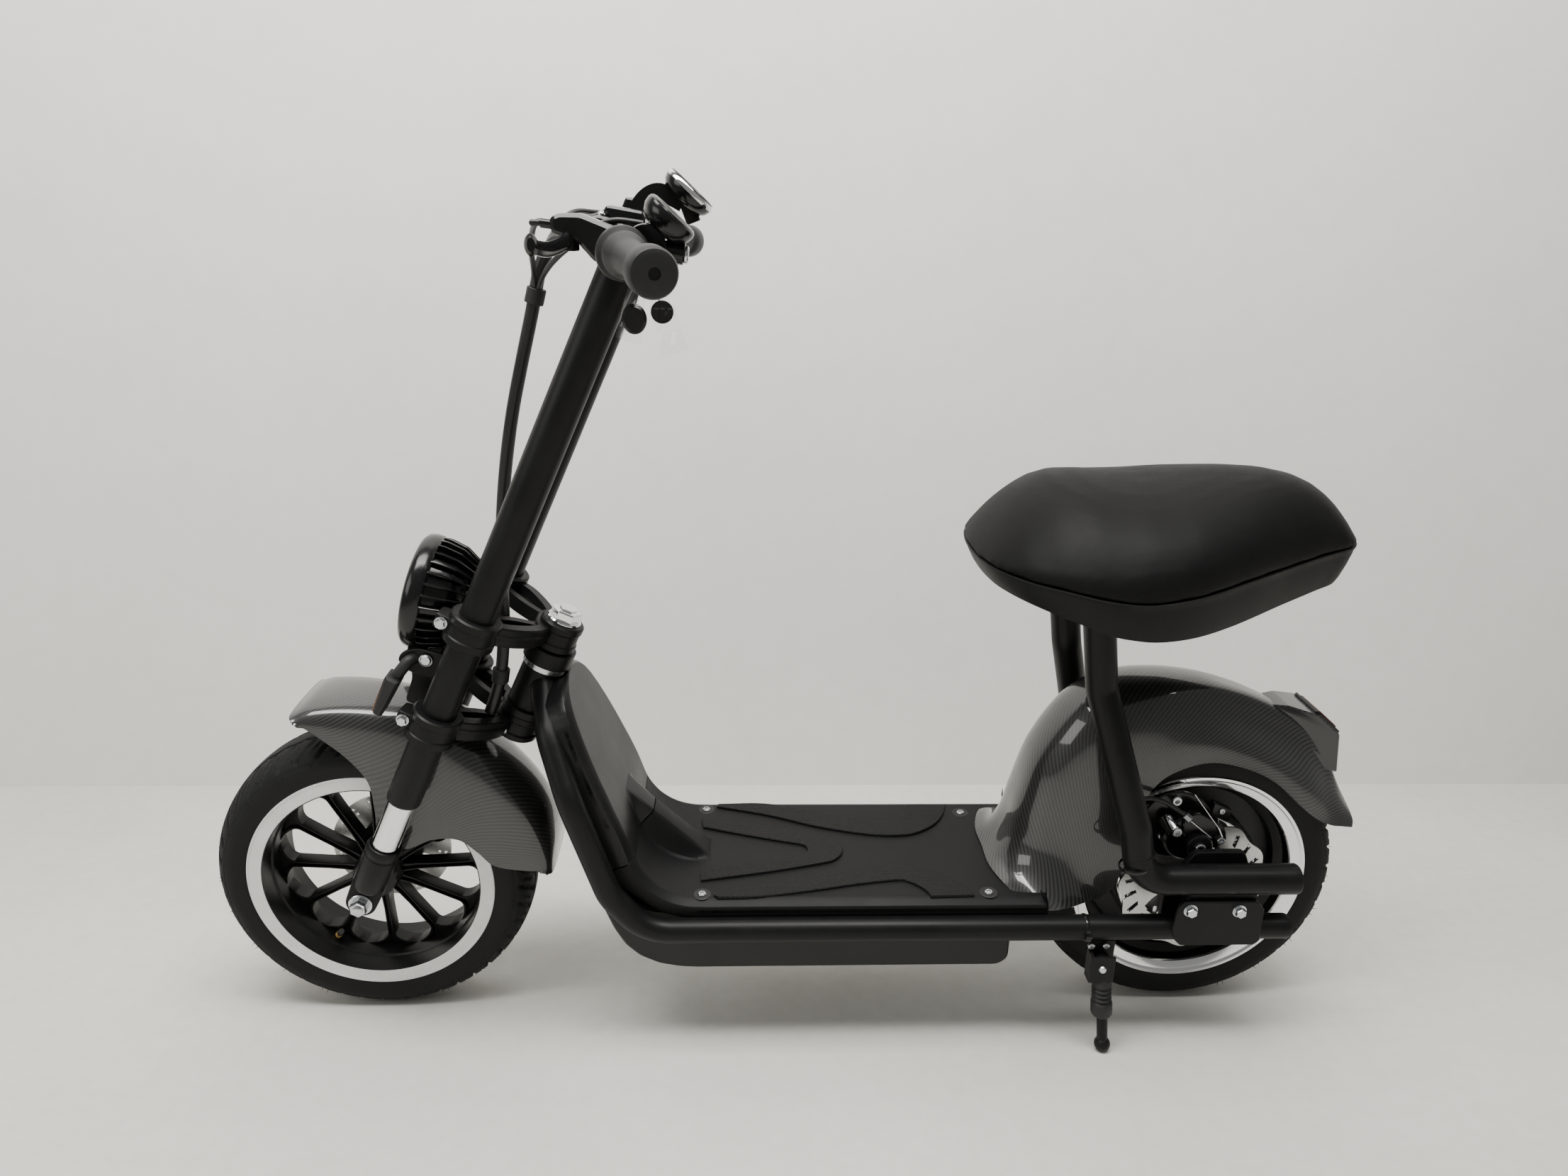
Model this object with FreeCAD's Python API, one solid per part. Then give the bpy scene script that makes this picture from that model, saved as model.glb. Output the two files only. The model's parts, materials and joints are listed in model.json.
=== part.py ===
import FreeCAD
import Part
import math
import os
from FreeCAD import Placement, Rotation, Vector

# Electric chopper scooter, in millimetres. Every piece is drawn on the upright scooter: X forward,
# Y to its left, Z up, the origin on the floor midway between the axles. At the end the whole scooter
# leans onto its side stand and its footprint is centred on the origin.

SIZES = (
    # alias, value
    ("wheelbase", 950),
    ("lean_angle", 7.7),
    ("rake_angle", 24.2),
    ("tyre_radius", 180),
    ("tyre_half_width", 45),
    ("rim_lip_radius", 138),
    ("rim_half_width", 42),
    ("rim_lip_width", 4),
    ("bead_radius", 127),
    ("barrel_wall", 6),
    ("hub_radius", 27),
    ("hub_half_width", 34),
    ("spoke_count", 12),
    ("spoke_width", 9),
    ("motor_radius", 88),
    ("motor_half_width", 33),
    ("motor_boss_radius", 34),
    ("motor_boss_half_width", 50),
    ("axle_radius", 6),
    ("motor_axle_radius", 8),
    ("front_disc_radius", 70),
    ("rear_disc_radius", 80),
    ("disc_thickness", 3),
    ("steering_offset", 80),
    ("leg_half_gap", 72.5),
    ("leg_diameter", 37),
    ("leg_length", 750),
    ("sleeve_bottom", 141),
    ("stanchion_diameter", 30),
    ("slider_diameter", 38),
    ("slider_top", 80),
    ("dropout_thickness", 14),
    ("lower_clamp_bottom", 224),
    ("lower_clamp_top", 258),
    ("upper_clamp_bottom", 343),
    ("upper_clamp_top", 376),
    ("clamp_wall", 8),
    ("stem_diameter", 25),
    ("head_tube_diameter", 46),
    ("head_tube_bore", 34),
    ("bearing_gap", 0.3),
    ("frame_tube_diameter", 28),
    ("cross_tube_diameter", 24),
    ("rear_tube_diameter", 34),
    ("frame_half_width", 110),
    ("frame_tube_height", 166),
    ("rear_tube_height", 229),
    ("tube_end", -560),
    ("post_half_gap", 65),
    ("bar_diameter", 22.2),
    ("bar_half_width", 290),
    ("grip_diameter", 36),
    ("grip_length", 120),
    ("deck_top", 197),
    ("deck_front", 126),
    ("deck_rear", -262),
    ("deck_half_width", 103),
    ("deck_thickness", 7),
    ("pad_height", 3),
    ("box_bottom", 94),
    ("box_half_width", 88),
    ("box_rear", -254),
    ("fender_wall", 3),
    ("front_fender_half_width", 53),
    ("rear_fender_half_width", 66),
    ("lamp_radius", 74),
    ("lamp_depth", 62),
    ("seat_seam", 577),
    ("seat_top", 662),
    ("seat_bottom", 514),
    ("seat_front", -188),
    ("seat_rear", -606),
    ("seat_half_width", 152),
    ("cable_diameter", 13),
    ("stand_x", -352),
    ("stand_y", 122),
    ("stand_pivot_height", 126),
    ("stand_foot_x", -360),
    ("stand_foot_y", 140),
    ("stand_leg_diameter", 12),
    ("stand_foot_radius", 9),
)

doc = FreeCAD.newDocument("ChopperScooter")
sheet = doc.addObject("Spreadsheet::Sheet", "Sizes")
for row, (alias, value) in enumerate(SIZES, 1):
    sheet.set(f"A{row}", alias)
    sheet.set(f"B{row}", str(value))
    sheet.setAlias(f"B{row}", alias)
doc.recompute()


def size(alias):
    return float(sheet.get(alias))


WHEEL_RADIUS = size("tyre_radius")
HALF_BASE = size("wheelbase") / 2
RAKE = math.radians(size("rake_angle"))
UP_FORK = Vector(-math.sin(RAKE), 0, math.cos(RAKE))
AHEAD = Vector(math.cos(RAKE), 0, math.sin(RAKE))
LEFT = Vector(0, 1, 0)
UP = Vector(0, 0, 1)
FORWARD = Vector(1, 0, 0)
FRONT_AXLE = Vector(HALF_BASE, 0, WHEEL_RADIUS)
REAR_AXLE = Vector(-HALF_BASE, 0, WHEEL_RADIUS)
STEM_BACK = -size("steering_offset")

nodes = []


def on_fork(along, ahead=0, side=0):
    """A point on the fork: along the legs up from the axle, ahead of them, and to the left."""
    return FRONT_AXLE + UP_FORK * along + AHEAD * ahead + LEFT * side


FORK_FRAME = Placement(FRONT_AXLE, Rotation(AHEAD, LEFT, UP_FORK, "ZXY"))


def node(label, shape):
    """A finished piece: a Part::Feature that carries its shape."""
    if hasattr(shape, "removeSplitter"):
        shape = shape.removeSplitter()
    piece = doc.addObject("Part::Feature", label)
    piece.Shape = shape
    piece.Label = label
    nodes.append(piece)
    return piece


def rod(start, end, radius):
    """A round bar between two points."""
    return Part.makeCylinder(radius, (end - start).Length, start, end - start)


def path_through(points, bend):
    """Straight runs through the points with tangent arcs of one bend radius at the corners."""
    edges = []
    last = points[0]
    for before, corner, after in zip(points, points[1:], points[2:]):
        back = (before - corner).normalize()
        ahead = (after - corner).normalize()
        half_turn = (math.pi - back.getAngle(ahead)) / 2
        cut = bend * math.tan(half_turn)
        first = corner + back * cut
        second = corner + ahead * cut
        middle_way = (back + ahead).normalize()
        centre = corner + middle_way * (bend / math.cos(half_turn))
        middle = centre - middle_way * bend
        edges.append(Part.LineSegment(last, first).toShape())
        edges.append(Part.Arc(first, middle, second).toShape())
        last = second
    edges.append(Part.LineSegment(last, points[-1]).toShape())
    return Part.Wire(edges)


def bent_rod(points, radius, bend):
    """A round bar along the points, rounded at each corner."""
    spine = path_through(points, bend)
    ring = Part.Wire(Part.makeCircle(radius, points[0], points[1] - points[0]))
    return spine.makePipeShell([ring], True, False)


def outline(points, place):
    """A closed wire from flat points. ("arc", through, end) makes the next stretch round."""
    def lift(flat):
        return place.multVec(Vector(flat[0], flat[1], 0))
    edges = []
    last = points[0]
    for item in list(points[1:]) + [points[0]]:
        if item[0] == "arc":
            edges.append(Part.Arc(lift(last), lift(item[1]), lift(item[2])).toShape())
            last = item[2]
        elif item != last:
            edges.append(Part.LineSegment(lift(last), lift(item)).toShape())
            last = item
    return Part.Wire(edges)


SIDE_PLANE = Placement(Vector(), Rotation(FORWARD, UP, -LEFT, "ZXY"))
PLAN_PLANE = Placement()
FORK_SIDE = Placement(FRONT_AXLE, Rotation(AHEAD, UP_FORK, -LEFT, "ZXY"))
FORK_PLAN = FORK_FRAME


def slab(points, place, low, high):
    """The outline on a plane, as a solid between two distances along the plane's normal."""
    normal = place.Rotation.multVec(UP)
    flat = Part.Face(outline(points, place))
    flat.translate(normal * low)
    return flat.extrude(normal * (high - low))


def side_slab(points, right, left):
    """A side view outline in X and Z, as a solid from one Y to the other."""
    return slab(points, SIDE_PLANE, -left, -right)


def ring_of(points, centre):
    """A wheel-like piece: the outline in radius and Y, turned about the axle at the centre."""
    place = Placement(centre, Rotation(FORWARD, LEFT, UP, "ZXY"))
    return Part.Face(outline(points, place)).revolve(centre, LEFT, 360)


def mirrored(points):
    """The outline's upper half, in radius and Y, with its mirror image below."""
    return list(points) + [(radius, -half) for radius, half in reversed(points)]


def wheel_parts(side_name, centre):
    """Tyre and rim of one wheel."""
    radius = size("tyre_radius")
    half = size("tyre_half_width")
    lip = size("rim_lip_radius")
    rim_half = size("rim_half_width")
    lip_width = size("rim_lip_width")
    bead = size("bead_radius")
    seat = rim_half - lip_width
    tread = [(radius, 0), (radius - 1.5, half * 0.40), (radius - 9, half * 0.80)]
    tyre_outline = [
        (radius, 0),
        ("arc", tread[1], tread[2]),
        ("arc", (radius - 15, half * 0.95), (radius - 25, half)),
        ("arc", (lip + 8, half * 0.985), (lip, rim_half)),
        (lip, seat),
        (bead, seat),
        (bead, -seat),
        (lip, -seat),
        (lip, -rim_half),
        ("arc", (lip + 8, -half * 0.985), (radius - 25, -half)),
        ("arc", (radius - 15, -half * 0.95), (radius - 9, -half * 0.80)),
        ("arc", (radius - 1.5, -half * 0.40), (radius, 0)),
    ]
    node(side_name + "_tyre", ring_of(tyre_outline, centre))
    return lip, rim_half, bead, seat


def front_wheel():
    """Tyre, cast rim with spokes, and the brake disc on the right."""
    lip, rim_half, bead, seat = wheel_parts("front", FRONT_AXLE)
    wall = size("barrel_wall")
    hub = size("hub_radius")
    hub_half = size("hub_half_width")
    inner = bead - wall
    bore = size("axle_radius") + size("bearing_gap")
    barrel = ring_of(mirrored([
        (lip, rim_half), (lip, seat), (bead, seat),
    ]) + mirrored([
        (inner - 1, rim_half), (inner - 7, 12),
    ])[::-1], FRONT_AXLE)
    core = ring_of([
        (hub, -hub_half), (hub, hub_half), (bore, hub_half), (bore, -hub_half),
    ], FRONT_AXLE)
    pieces = [barrel, core]
    for number in range(int(size("spoke_count"))):
        angle = 360 / size("spoke_count") * number
        spoke = Part.makeBox(inner - 4 - hub + 6, 20, size("spoke_width"))
        spoke.translate(Vector(hub - 3, -10, -size("spoke_width") / 2))
        spoke.rotate(Vector(), LEFT, -angle)
        spoke.translate(FRONT_AXLE)
        pieces.append(spoke)
    node("front_rim", pieces[0].fuse(pieces[1:]))
    disc_out = -hub_half
    disc = ring_of([
        (size("front_disc_radius"), disc_out), (size("front_disc_radius"), disc_out - size("disc_thickness")),
        (hub - 4, disc_out - size("disc_thickness")), (hub - 4, disc_out),
    ], FRONT_AXLE)
    node("front_disc", disc)


def rear_wheel():
    """Tyre, rim with the hub motor, and the brake disc on the left."""
    lip, rim_half, bead, seat = wheel_parts("rear", REAR_AXLE)
    wall = size("barrel_wall")
    motor = size("motor_radius")
    motor_half = size("motor_half_width")
    boss = size("motor_boss_radius")
    boss_half = size("motor_boss_half_width")
    inner = bead - wall
    barrel = ring_of(mirrored([
        (lip, rim_half), (lip, seat), (bead, seat),
    ]) + mirrored([
        (inner, rim_half), (inner - 4, 24), (inner - 12, 18),
    ])[::-1], REAR_AXLE)
    web = ring_of([
        (inner - 10, 6), (inner - 10, -6), (motor - 2, -6), (motor - 2, 6),
    ], REAR_AXLE)
    axle = size("motor_axle_radius") + size("bearing_gap")
    motor_shape = ring_of([
        (motor - 4, motor_half), (boss, motor_half + 5), (boss, boss_half),
        (axle, boss_half), (axle, -boss_half), (boss, -boss_half), (boss, -motor_half - 5),
        (motor - 4, -motor_half), (motor, -motor_half + 4), (motor, motor_half - 4),
    ], REAR_AXLE)
    node("rear_rim", barrel.fuse([web, motor_shape]))
    disc = ring_of([
        (size("rear_disc_radius"), boss_half), (size("rear_disc_radius"), boss_half + size("disc_thickness")),
        (boss - 6, boss_half + size("disc_thickness")), (boss - 6, boss_half),
    ], REAR_AXLE)
    node("rear_disc", disc)


def clamp_plate(bottom, top, stem_hole):
    """A triple clamp: rings round both legs and the stem, joined by a web."""
    wall = size("clamp_wall")
    leg = size("leg_diameter") / 2
    gap = size("leg_half_gap")
    ring = leg + wall
    arm_outer = (STEM_BACK - 14, 18)
    arm_inner = (STEM_BACK + 16, 14)
    arm = [(ring * 0.4, gap), (-ring * 0.75, gap + ring * 0.5), arm_outer, arm_inner, (-ring * 0.3, gap - ring * 0.8)]
    plate = slab(arm, FORK_PLAN, bottom + 5, top - 5)
    plate = plate.fuse(slab([(ahead, -left) for ahead, left in arm], FORK_PLAN, bottom + 5, top - 5))
    for side in (-1, 1):
        plate = plate.fuse(rod(on_fork(bottom, 0, side * gap), on_fork(top, 0, side * gap), ring))
    plate = plate.fuse(rod(on_fork(bottom, STEM_BACK), on_fork(top, STEM_BACK), 26))
    for side in (-1, 1):
        plate = plate.cut(rod(on_fork(bottom - 1, 0, side * gap), on_fork(top + 1, 0, side * gap), leg))
    return plate.cut(rod(on_fork(bottom - 1, STEM_BACK), on_fork(top + 1, STEM_BACK), stem_hole))


def fork():
    """Legs, stanchions, sliders, clamps, stem and axle."""
    gap = size("leg_half_gap")
    leg = size("leg_diameter") / 2
    axle = size("axle_radius")
    sliders = size("slider_diameter") / 2
    for name, side in (("left", 1), ("right", -1)):
        y = gap * side
        node("fork_leg_" + name, rod(on_fork(size("sleeve_bottom"), 0, y), on_fork(size("leg_length"), 0, y), leg))
        node("stanchion_" + name, rod(on_fork(size("slider_top"), 0, y), on_fork(size("sleeve_bottom"), 0, y),
                                      size("stanchion_diameter") / 2))
        slider = rod(on_fork(18, 0, y), on_fork(size("slider_top"), 0, y), sliders)
        flat = size("dropout_thickness") / 2
        drop = slab([
            (-16, 30), (-16, 0), ("arc", (0, -18), (16, 0)), (16, 30),
        ], FORK_SIDE, -y - flat, -y + flat)
        slider = slider.fuse(drop).cut(rod(on_fork(0, 0, y - 30), on_fork(0, 0, y + 30), axle))
        node("slider_" + name, slider)
    hub_half = size("hub_half_width")
    reach = gap + size("dropout_thickness") / 2
    shaft = rod(on_fork(0, 0, -reach - 12), on_fork(0, 0, reach + 12), axle)
    for side in (-1, 1):
        shaft = shaft.fuse(rod(on_fork(0, 0, side * reach), on_fork(0, 0, side * (reach + 3)), 13))
        shaft = shaft.fuse(rod(on_fork(0, 0, side * (reach + 3)), on_fork(0, 0, side * (reach + 11)), 9.5))
        start = gap - size("dropout_thickness") / 2
        inner_end = hub_half + size("disc_thickness") + 2 if side < 0 else hub_half + 0.4
        spacer = rod(on_fork(0, 0, side * inner_end), on_fork(0, 0, side * start), 11)
        shaft = shaft.fuse(spacer)
    node("front_axle", shaft)
    stem = size("stem_diameter") / 2
    low = size("lower_clamp_bottom")
    high = size("upper_clamp_top")
    node("lower_clamp", clamp_plate(low, size("lower_clamp_top"), stem))
    node("upper_clamp", clamp_plate(size("upper_clamp_bottom"), high, stem))
    column = rod(on_fork(low, STEM_BACK), on_fork(high + 14, STEM_BACK), stem)
    washer = rod(on_fork(high, STEM_BACK), on_fork(high + 3, STEM_BACK), 19)
    nut = slab([(STEM_BACK + 17 * math.cos(math.radians(60 * turn)), 17 * math.sin(math.radians(60 * turn)))
                for turn in range(6)], FORK_PLAN, high + 3, high + 14)
    node("steering_stem", column.fuse([washer, nut]))


def head_and_frame():
    """Head tube, main tubes, cross tubes, rear tubes with the seat posts, axle plates."""
    stem = size("stem_diameter") / 2
    low = size("lower_clamp_top") + size("bearing_gap")
    high = size("upper_clamp_bottom") - size("bearing_gap")
    cup = size("head_tube_diameter") / 2 + 4
    tube = rod(on_fork(low, STEM_BACK), on_fork(high, STEM_BACK), size("head_tube_diameter") / 2)
    cups = rod(on_fork(high - 18, STEM_BACK), on_fork(high, STEM_BACK), cup)
    cups = cups.fuse(rod(on_fork(low, STEM_BACK), on_fork(low + 8, STEM_BACK), cup))
    bore = rod(on_fork(low - 1, STEM_BACK), on_fork(high + 1, STEM_BACK), size("head_tube_bore") / 2)
    for end in (low, high - 8):
        bore = bore.cut(rod(on_fork(end, STEM_BACK), on_fork(end + 8, STEM_BACK), 40))
        bore = bore.fuse(rod(on_fork(end - 1, STEM_BACK), on_fork(end + 9, STEM_BACK), stem + 0.3))
    bore = bore.fuse(rod(on_fork(low - 1, STEM_BACK), on_fork(high + 1, STEM_BACK), stem + 0.3))
    head = tube.fuse(cups)
    node("head_tube", head.cut(bore))

    width = size("frame_half_width")
    height = size("frame_tube_height")
    rear_height = size("rear_tube_height")
    end = size("tube_end")
    main = size("frame_tube_diameter") / 2
    rear = size("rear_tube_diameter") / 2
    tubes = []
    for name, side in (("left", 1), ("right", -1)):
        run = [
            Vector(274, side * 8, 424), Vector(259, side * 66, 382), Vector(234, side * 106, 325),
            Vector(196, side * width, 212), Vector(158, side * width, height), Vector(end, side * width, height),
        ]
        bent = bent_rod(run, main, 60).cut(head)
        tubes.append(bent)
        node("main_tube_" + name, bent)
        post = [
            Vector(-313, side * size("post_half_gap"), 548), Vector(-330, side * size("post_half_gap"), 440),
            Vector(-374, side * (width - 6), 290), Vector(-386, side * width, rear_height),
            Vector(end, side * width, rear_height),
        ]
        upper = bent_rod(post, rear, 36)
        tubes.append(upper)
        node("rear_tube_" + name, upper)
        inner = width - rear - 0.2
        plate = side_slab([(-424, 150), (-424, 206), (-452, 252), (-508, 252), (-528, 206), (-528, 150)],
                          *sorted((side * (inner - 8), side * inner)))
        block = side_slab([(-436, height), (-436, rear_height), (-520, rear_height), (-520, height)],
                          *sorted((side * inner, side * (width + 8))))
        axle = rod(REAR_AXLE + LEFT * (side * 40), REAR_AXLE + LEFT * (side * 130), size("motor_axle_radius"))
        node("axle_plate_" + name, plate.fuse(block).cut([bent, upper, axle]))
    crosses = []
    for x in (60, -270):
        bar = rod(Vector(x, -width, height), Vector(x, width, height), size("cross_tube_diameter") / 2)
        crosses.append(bar.cut(tubes))
    inside = []
    for bar in crosses:
        inside.append(max(bar.Solids, key=lambda solid: solid.Volume))
    node("cross_tubes", Part.makeCompound(inside))
    reach = width - rear - 0.2
    shaft = rod(REAR_AXLE - LEFT * (reach + 10), REAR_AXLE + LEFT * (reach + 10), size("motor_axle_radius"))
    cap = size("motor_boss_half_width")
    shaft = shaft.fuse(rod(REAR_AXLE + LEFT * (cap + size("disc_thickness") + 2), REAR_AXLE + LEFT * (reach - 8), 13))
    shaft = shaft.fuse(rod(REAR_AXLE - LEFT * (cap + 0.4), REAR_AXLE - LEFT * (reach - 8), 13))
    node("rear_axle", shaft.cut(tubes))
    return tubes, inside


def arch_section(half_width, crown_share, crown_drop, depth, wall):
    """A fender's section: height below the crown and Y. A flat crown arc, shoulder arcs, straight sides."""
    crown_half = half_width * crown_share
    crown_radius = (crown_half ** 2 + crown_drop ** 2) / (2 * crown_drop)
    lean = math.asin(crown_half / crown_radius)
    shoulder = (half_width - crown_half) / (1 - math.sin(lean))
    centre = (-crown_drop - shoulder * math.cos(lean), half_width - shoulder)

    def line(offset):
        around = shoulder - offset
        top = crown_radius - offset

        def on_shoulder(angle):
            return (centre[0] + around * math.cos(angle), centre[1] + around * math.sin(angle))
        joint = on_shoulder(lean)
        flank = on_shoulder(math.pi / 2)
        middle = on_shoulder((lean + math.pi / 2) / 2)
        return joint, middle, flank, (top - crown_radius, 0)
    joint, middle, flank, crown = line(0)
    joint_in, middle_in, flank_in, crown_in = line(wall)

    def other(point):
        return (point[0], -point[1])
    return [
        (-depth, flank[1]), flank, ("arc", middle, joint), ("arc", crown, other(joint)),
        ("arc", other(middle), other(flank)), (-depth, -flank[1]),
        (-depth, -flank_in[1]), other(flank_in), ("arc", other(middle_in), other(joint_in)),
        ("arc", crown_in, joint_in), ("arc", middle_in, flank_in), (-depth, flank_in[1]),
    ]


def swept_arch(section, centre, crown, start, sweep):
    """The section turned about a level axis through the centre, with its crown at the crown radius."""
    out = Vector(math.cos(math.radians(start)), 0, math.sin(math.radians(start)))
    place = Placement(centre + out * crown, Rotation(out, LEFT, UP, "XYZ"))
    face = Part.Face(outline(section, place))
    return face.revolve(centre, -LEFT, sweep)


def front_fender(taken):
    """The arched mudguard that the sliders carry, with its skirt behind the legs."""
    half = size("front_fender_half_width")
    centre = on_fork(21, 7.6)
    section = arch_section(half, 0.56, 6, 150, size("fender_wall"))
    arch = swept_arch(section, centre, 198, 44 + size("rake_angle"), 124)
    skirt = [
        (150, 168), (128, 172), ("arc", (86, 163), (41, 132)), ("arc", (24, 106), (20, 66)), (-22, 66),
        ("arc", (-42, 94), (-66, 103)), ("arc", (-94, 100), (-118, 86)), ("arc", (-160, 84), (-196, 100)),
        (-240, 110), (-240, 260), (150, 260),
    ]
    kept = slab(skirt, FORK_SIDE, -half - 1, half + 1)
    fender = arch.common(kept)
    gap = size("leg_half_gap")
    for side in (-1, 1):
        boss = rod(on_fork(74, 0, side * (half - 1.5)), on_fork(74, 0, side * (gap - 4)), 6)
        fender = fender.fuse(boss.cut(taken))
    node("front_fender", fender)


def rear_fender():
    """The rear mudguard: a short front arc and a long rear one, with side panels down to the tubes."""
    half = size("rear_fender_half_width")
    wall = size("fender_wall")
    section = arch_section(half, 0.56, 9, 120, wall)
    turn = Vector(-420, 0, 266)
    front_crown = 158
    rear_crown = 278
    front = swept_arch(section, turn, front_crown, -32, 122)
    rear = swept_arch(section, turn + UP * (front_crown - rear_crown), rear_crown, 90, 76)
    arch = front.fuse(rear)
    kept = [
        (-230, 198), (-288, 198), (-292, 150), (-373, 150), (-386, 200), ("arc", (-390, 290), (-428, 340)),
        ("arc", (-478, 353), (-544, 322)), ("arc", (-594, 281), (-640, 258)), (-692, 221), (-720, 240),
        (-720, 470), (-230, 470),
    ]
    arch = arch.common(side_slab(kept, -half - 1, half + 1))
    panel = [(-291, 172), (-300, 158), (-374, 158), (-386, 200), ("arc", (-390, 290), (-400, 310)),
             (-360, 300), (-330, 230)]
    pieces = [arch]
    for side in (-1, 1):
        pieces.append(side_slab(panel, *sorted((side * (half - wall), side * half))))
    fender = pieces[0].fuse(pieces[1:])
    node("rear_fender", fender)
    lamp = side_slab([(-588, 384), (-626, 362), (-642, 322), (-618, 306), (-584, 330)], -30, 30)
    node("tail_lamp", max(lamp.cut(fender).Solids, key=lambda solid: solid.Volume))
    return fender


def body_work(tubes, crosses):
    """Battery box, leg shield, footboard with its pads."""
    width = size("box_half_width")
    bottom = size("box_bottom")
    rear = size("box_rear")
    top = size("deck_top") - size("deck_thickness")
    front = size("deck_front")
    box_outline = [
        (rear, top), (rear, bottom + 12), (rear + 14, bottom), (112, bottom),
        ("arc", (190, bottom + 36), (222, bottom + 104)), (222, 236), (186, 238), ("arc", (158, 204), (front, top)),
    ]
    battery = side_slab(box_outline, -width, width)
    solid = battery.cut(tubes + crosses)
    node("battery_box", max(solid.Solids, key=lambda piece: piece.Volume))
    shield_outline = [
        (front, size("deck_top")), ("arc", (156, 211), (178, 246)), (217, 417), (240, 410), (232, 330), (222, 236),
        (186, 238), ("arc", (158, 204), (front, top)),
    ]
    shield = side_slab(shield_outline, -size("frame_half_width"), size("frame_half_width"))
    gate = slab([(-96, 180), (96, 180), (96, 300), (60, 385), (22, 418), (-22, 418), (-60, 385), (-96, 300)],
                Placement(Vector(), Rotation(LEFT, UP, FORWARD, "ZXY")), 90, 300)
    shield = shield.common(gate).cut(tubes)
    node("leg_shield", max(shield.Solids, key=lambda piece: piece.Volume))
    half = size("deck_half_width")
    deck_top = size("deck_top")
    tray = slab([(-half, 184), (-half + 3, 193), (-half + 9, deck_top), (half - 9, deck_top), (half - 3, 193),
                 (half, 184), (half - 6, 184), (half - 14, top), (-half + 14, top), (-half + 6, 184)],
                Placement(Vector(), Rotation(LEFT, UP, FORWARD, "ZXY")), size("deck_rear") - 26, front)
    node("footboard", tray.cut(tubes))
    rise = size("pad_height")
    pads = []
    for side in (-1, 1):
        rail = [(84, side * 92), (-208, side * 92), (-190, side * 62), (-133, side * 34), (-100, side * 60)]
        pads.append(slab(rail, PLAN_PLANE, deck_top, deck_top + rise))
    vee = [(100, -60), (100, -34), (10, -14), (10, 14), (100, 34), (100, 60), (-40, 18), (-68, 0), (-40, -18)]
    pads.append(slab(vee, PLAN_PLANE, deck_top, deck_top + rise))
    node("deck_pads", Part.makeCompound(pads))


def seat_plan(share, shift=0):
    """The saddle's outline from above: blunt in front, tapered behind."""
    front = size("seat_front")
    rear = size("seat_rear")
    half = size("seat_half_width")
    middle = -345

    def point(x, y):
        return (middle + (x - middle) * share + shift, y * share)
    return [
        point(front, 0), ("arc", point(front - 28, half * 0.56), point(-262, half * 0.82)),
        ("arc", point(-305, half * 0.965), point(middle, half)),
        ("arc", point(-470, half * 0.67), point(rear + 26, half * 0.26)),
        ("arc", point(rear + 8, half * 0.13), point(rear, 0)),
        ("arc", point(rear + 8, -half * 0.13), point(rear + 26, -half * 0.26)),
        ("arc", point(-470, -half * 0.67), point(middle, -half)),
        ("arc", point(-305, -half * 0.965), point(-262, -half * 0.82)),
        ("arc", point(front - 28, -half * 0.56), point(front, 0)),
    ]


def saddle(tubes):
    """The seat's base and cushion."""
    def level(height, share, shift=0):
        return outline(seat_plan(share, shift), Placement(Vector(0, 0, height), Rotation()))
    seam = size("seat_seam")
    top = size("seat_top")
    bottom = size("seat_bottom")
    lower = Part.makeLoft([level(bottom, 0.62), level(bottom + 38, 0.965), level(seam, 1.0)], True, False)
    node("seat_base", lower.cut(tubes))
    upper = Part.makeLoft([
        level(seam, 1.0), level(seam + 33, 0.95), level(top - 21, 0.76), level(top, 0.42)], True, False)
    node("seat_cushion", upper)


def headlamp():
    """The round headlamp on its bracket, and the turn signals."""
    centre = on_fork(350, 43)
    tilt = math.radians(14)
    front_way = Vector(math.cos(tilt), 0, math.sin(tilt))
    side_way = LEFT
    up_way = Vector(-math.sin(tilt), 0, math.cos(tilt))
    place = Placement(centre, Rotation(front_way, up_way, -side_way, "XYZ"))
    radius = size("lamp_radius") - 12
    depth = size("lamp_depth")
    bowl = [(-depth / 2, 0), (-depth / 2, radius * 0.55), ("arc", (-depth * 0.30, radius * 0.88),
            (depth * 0.30, radius)), (depth * 0.30, 0)]
    housing = Part.Face(outline(bowl, place)).revolve(centre, front_way, 360)
    bezel = [(depth * 0.30, 0), (depth * 0.30, radius), (depth * 0.46, radius), (depth * 0.5, radius - 6),
             (depth * 0.62, 0)]
    lens = Part.Face(outline(bezel, place)).revolve(centre, front_way, 360)
    node("headlamp", housing)
    node("headlamp_lens", lens)
    return housing


def outer_point(tip, end, elbow, back):
    """A point on the bar's left arm, measured back from its end."""
    way = (tip + LEFT * end - elbow - LEFT * 120).normalize()
    return tip + LEFT * end - way * back


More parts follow.
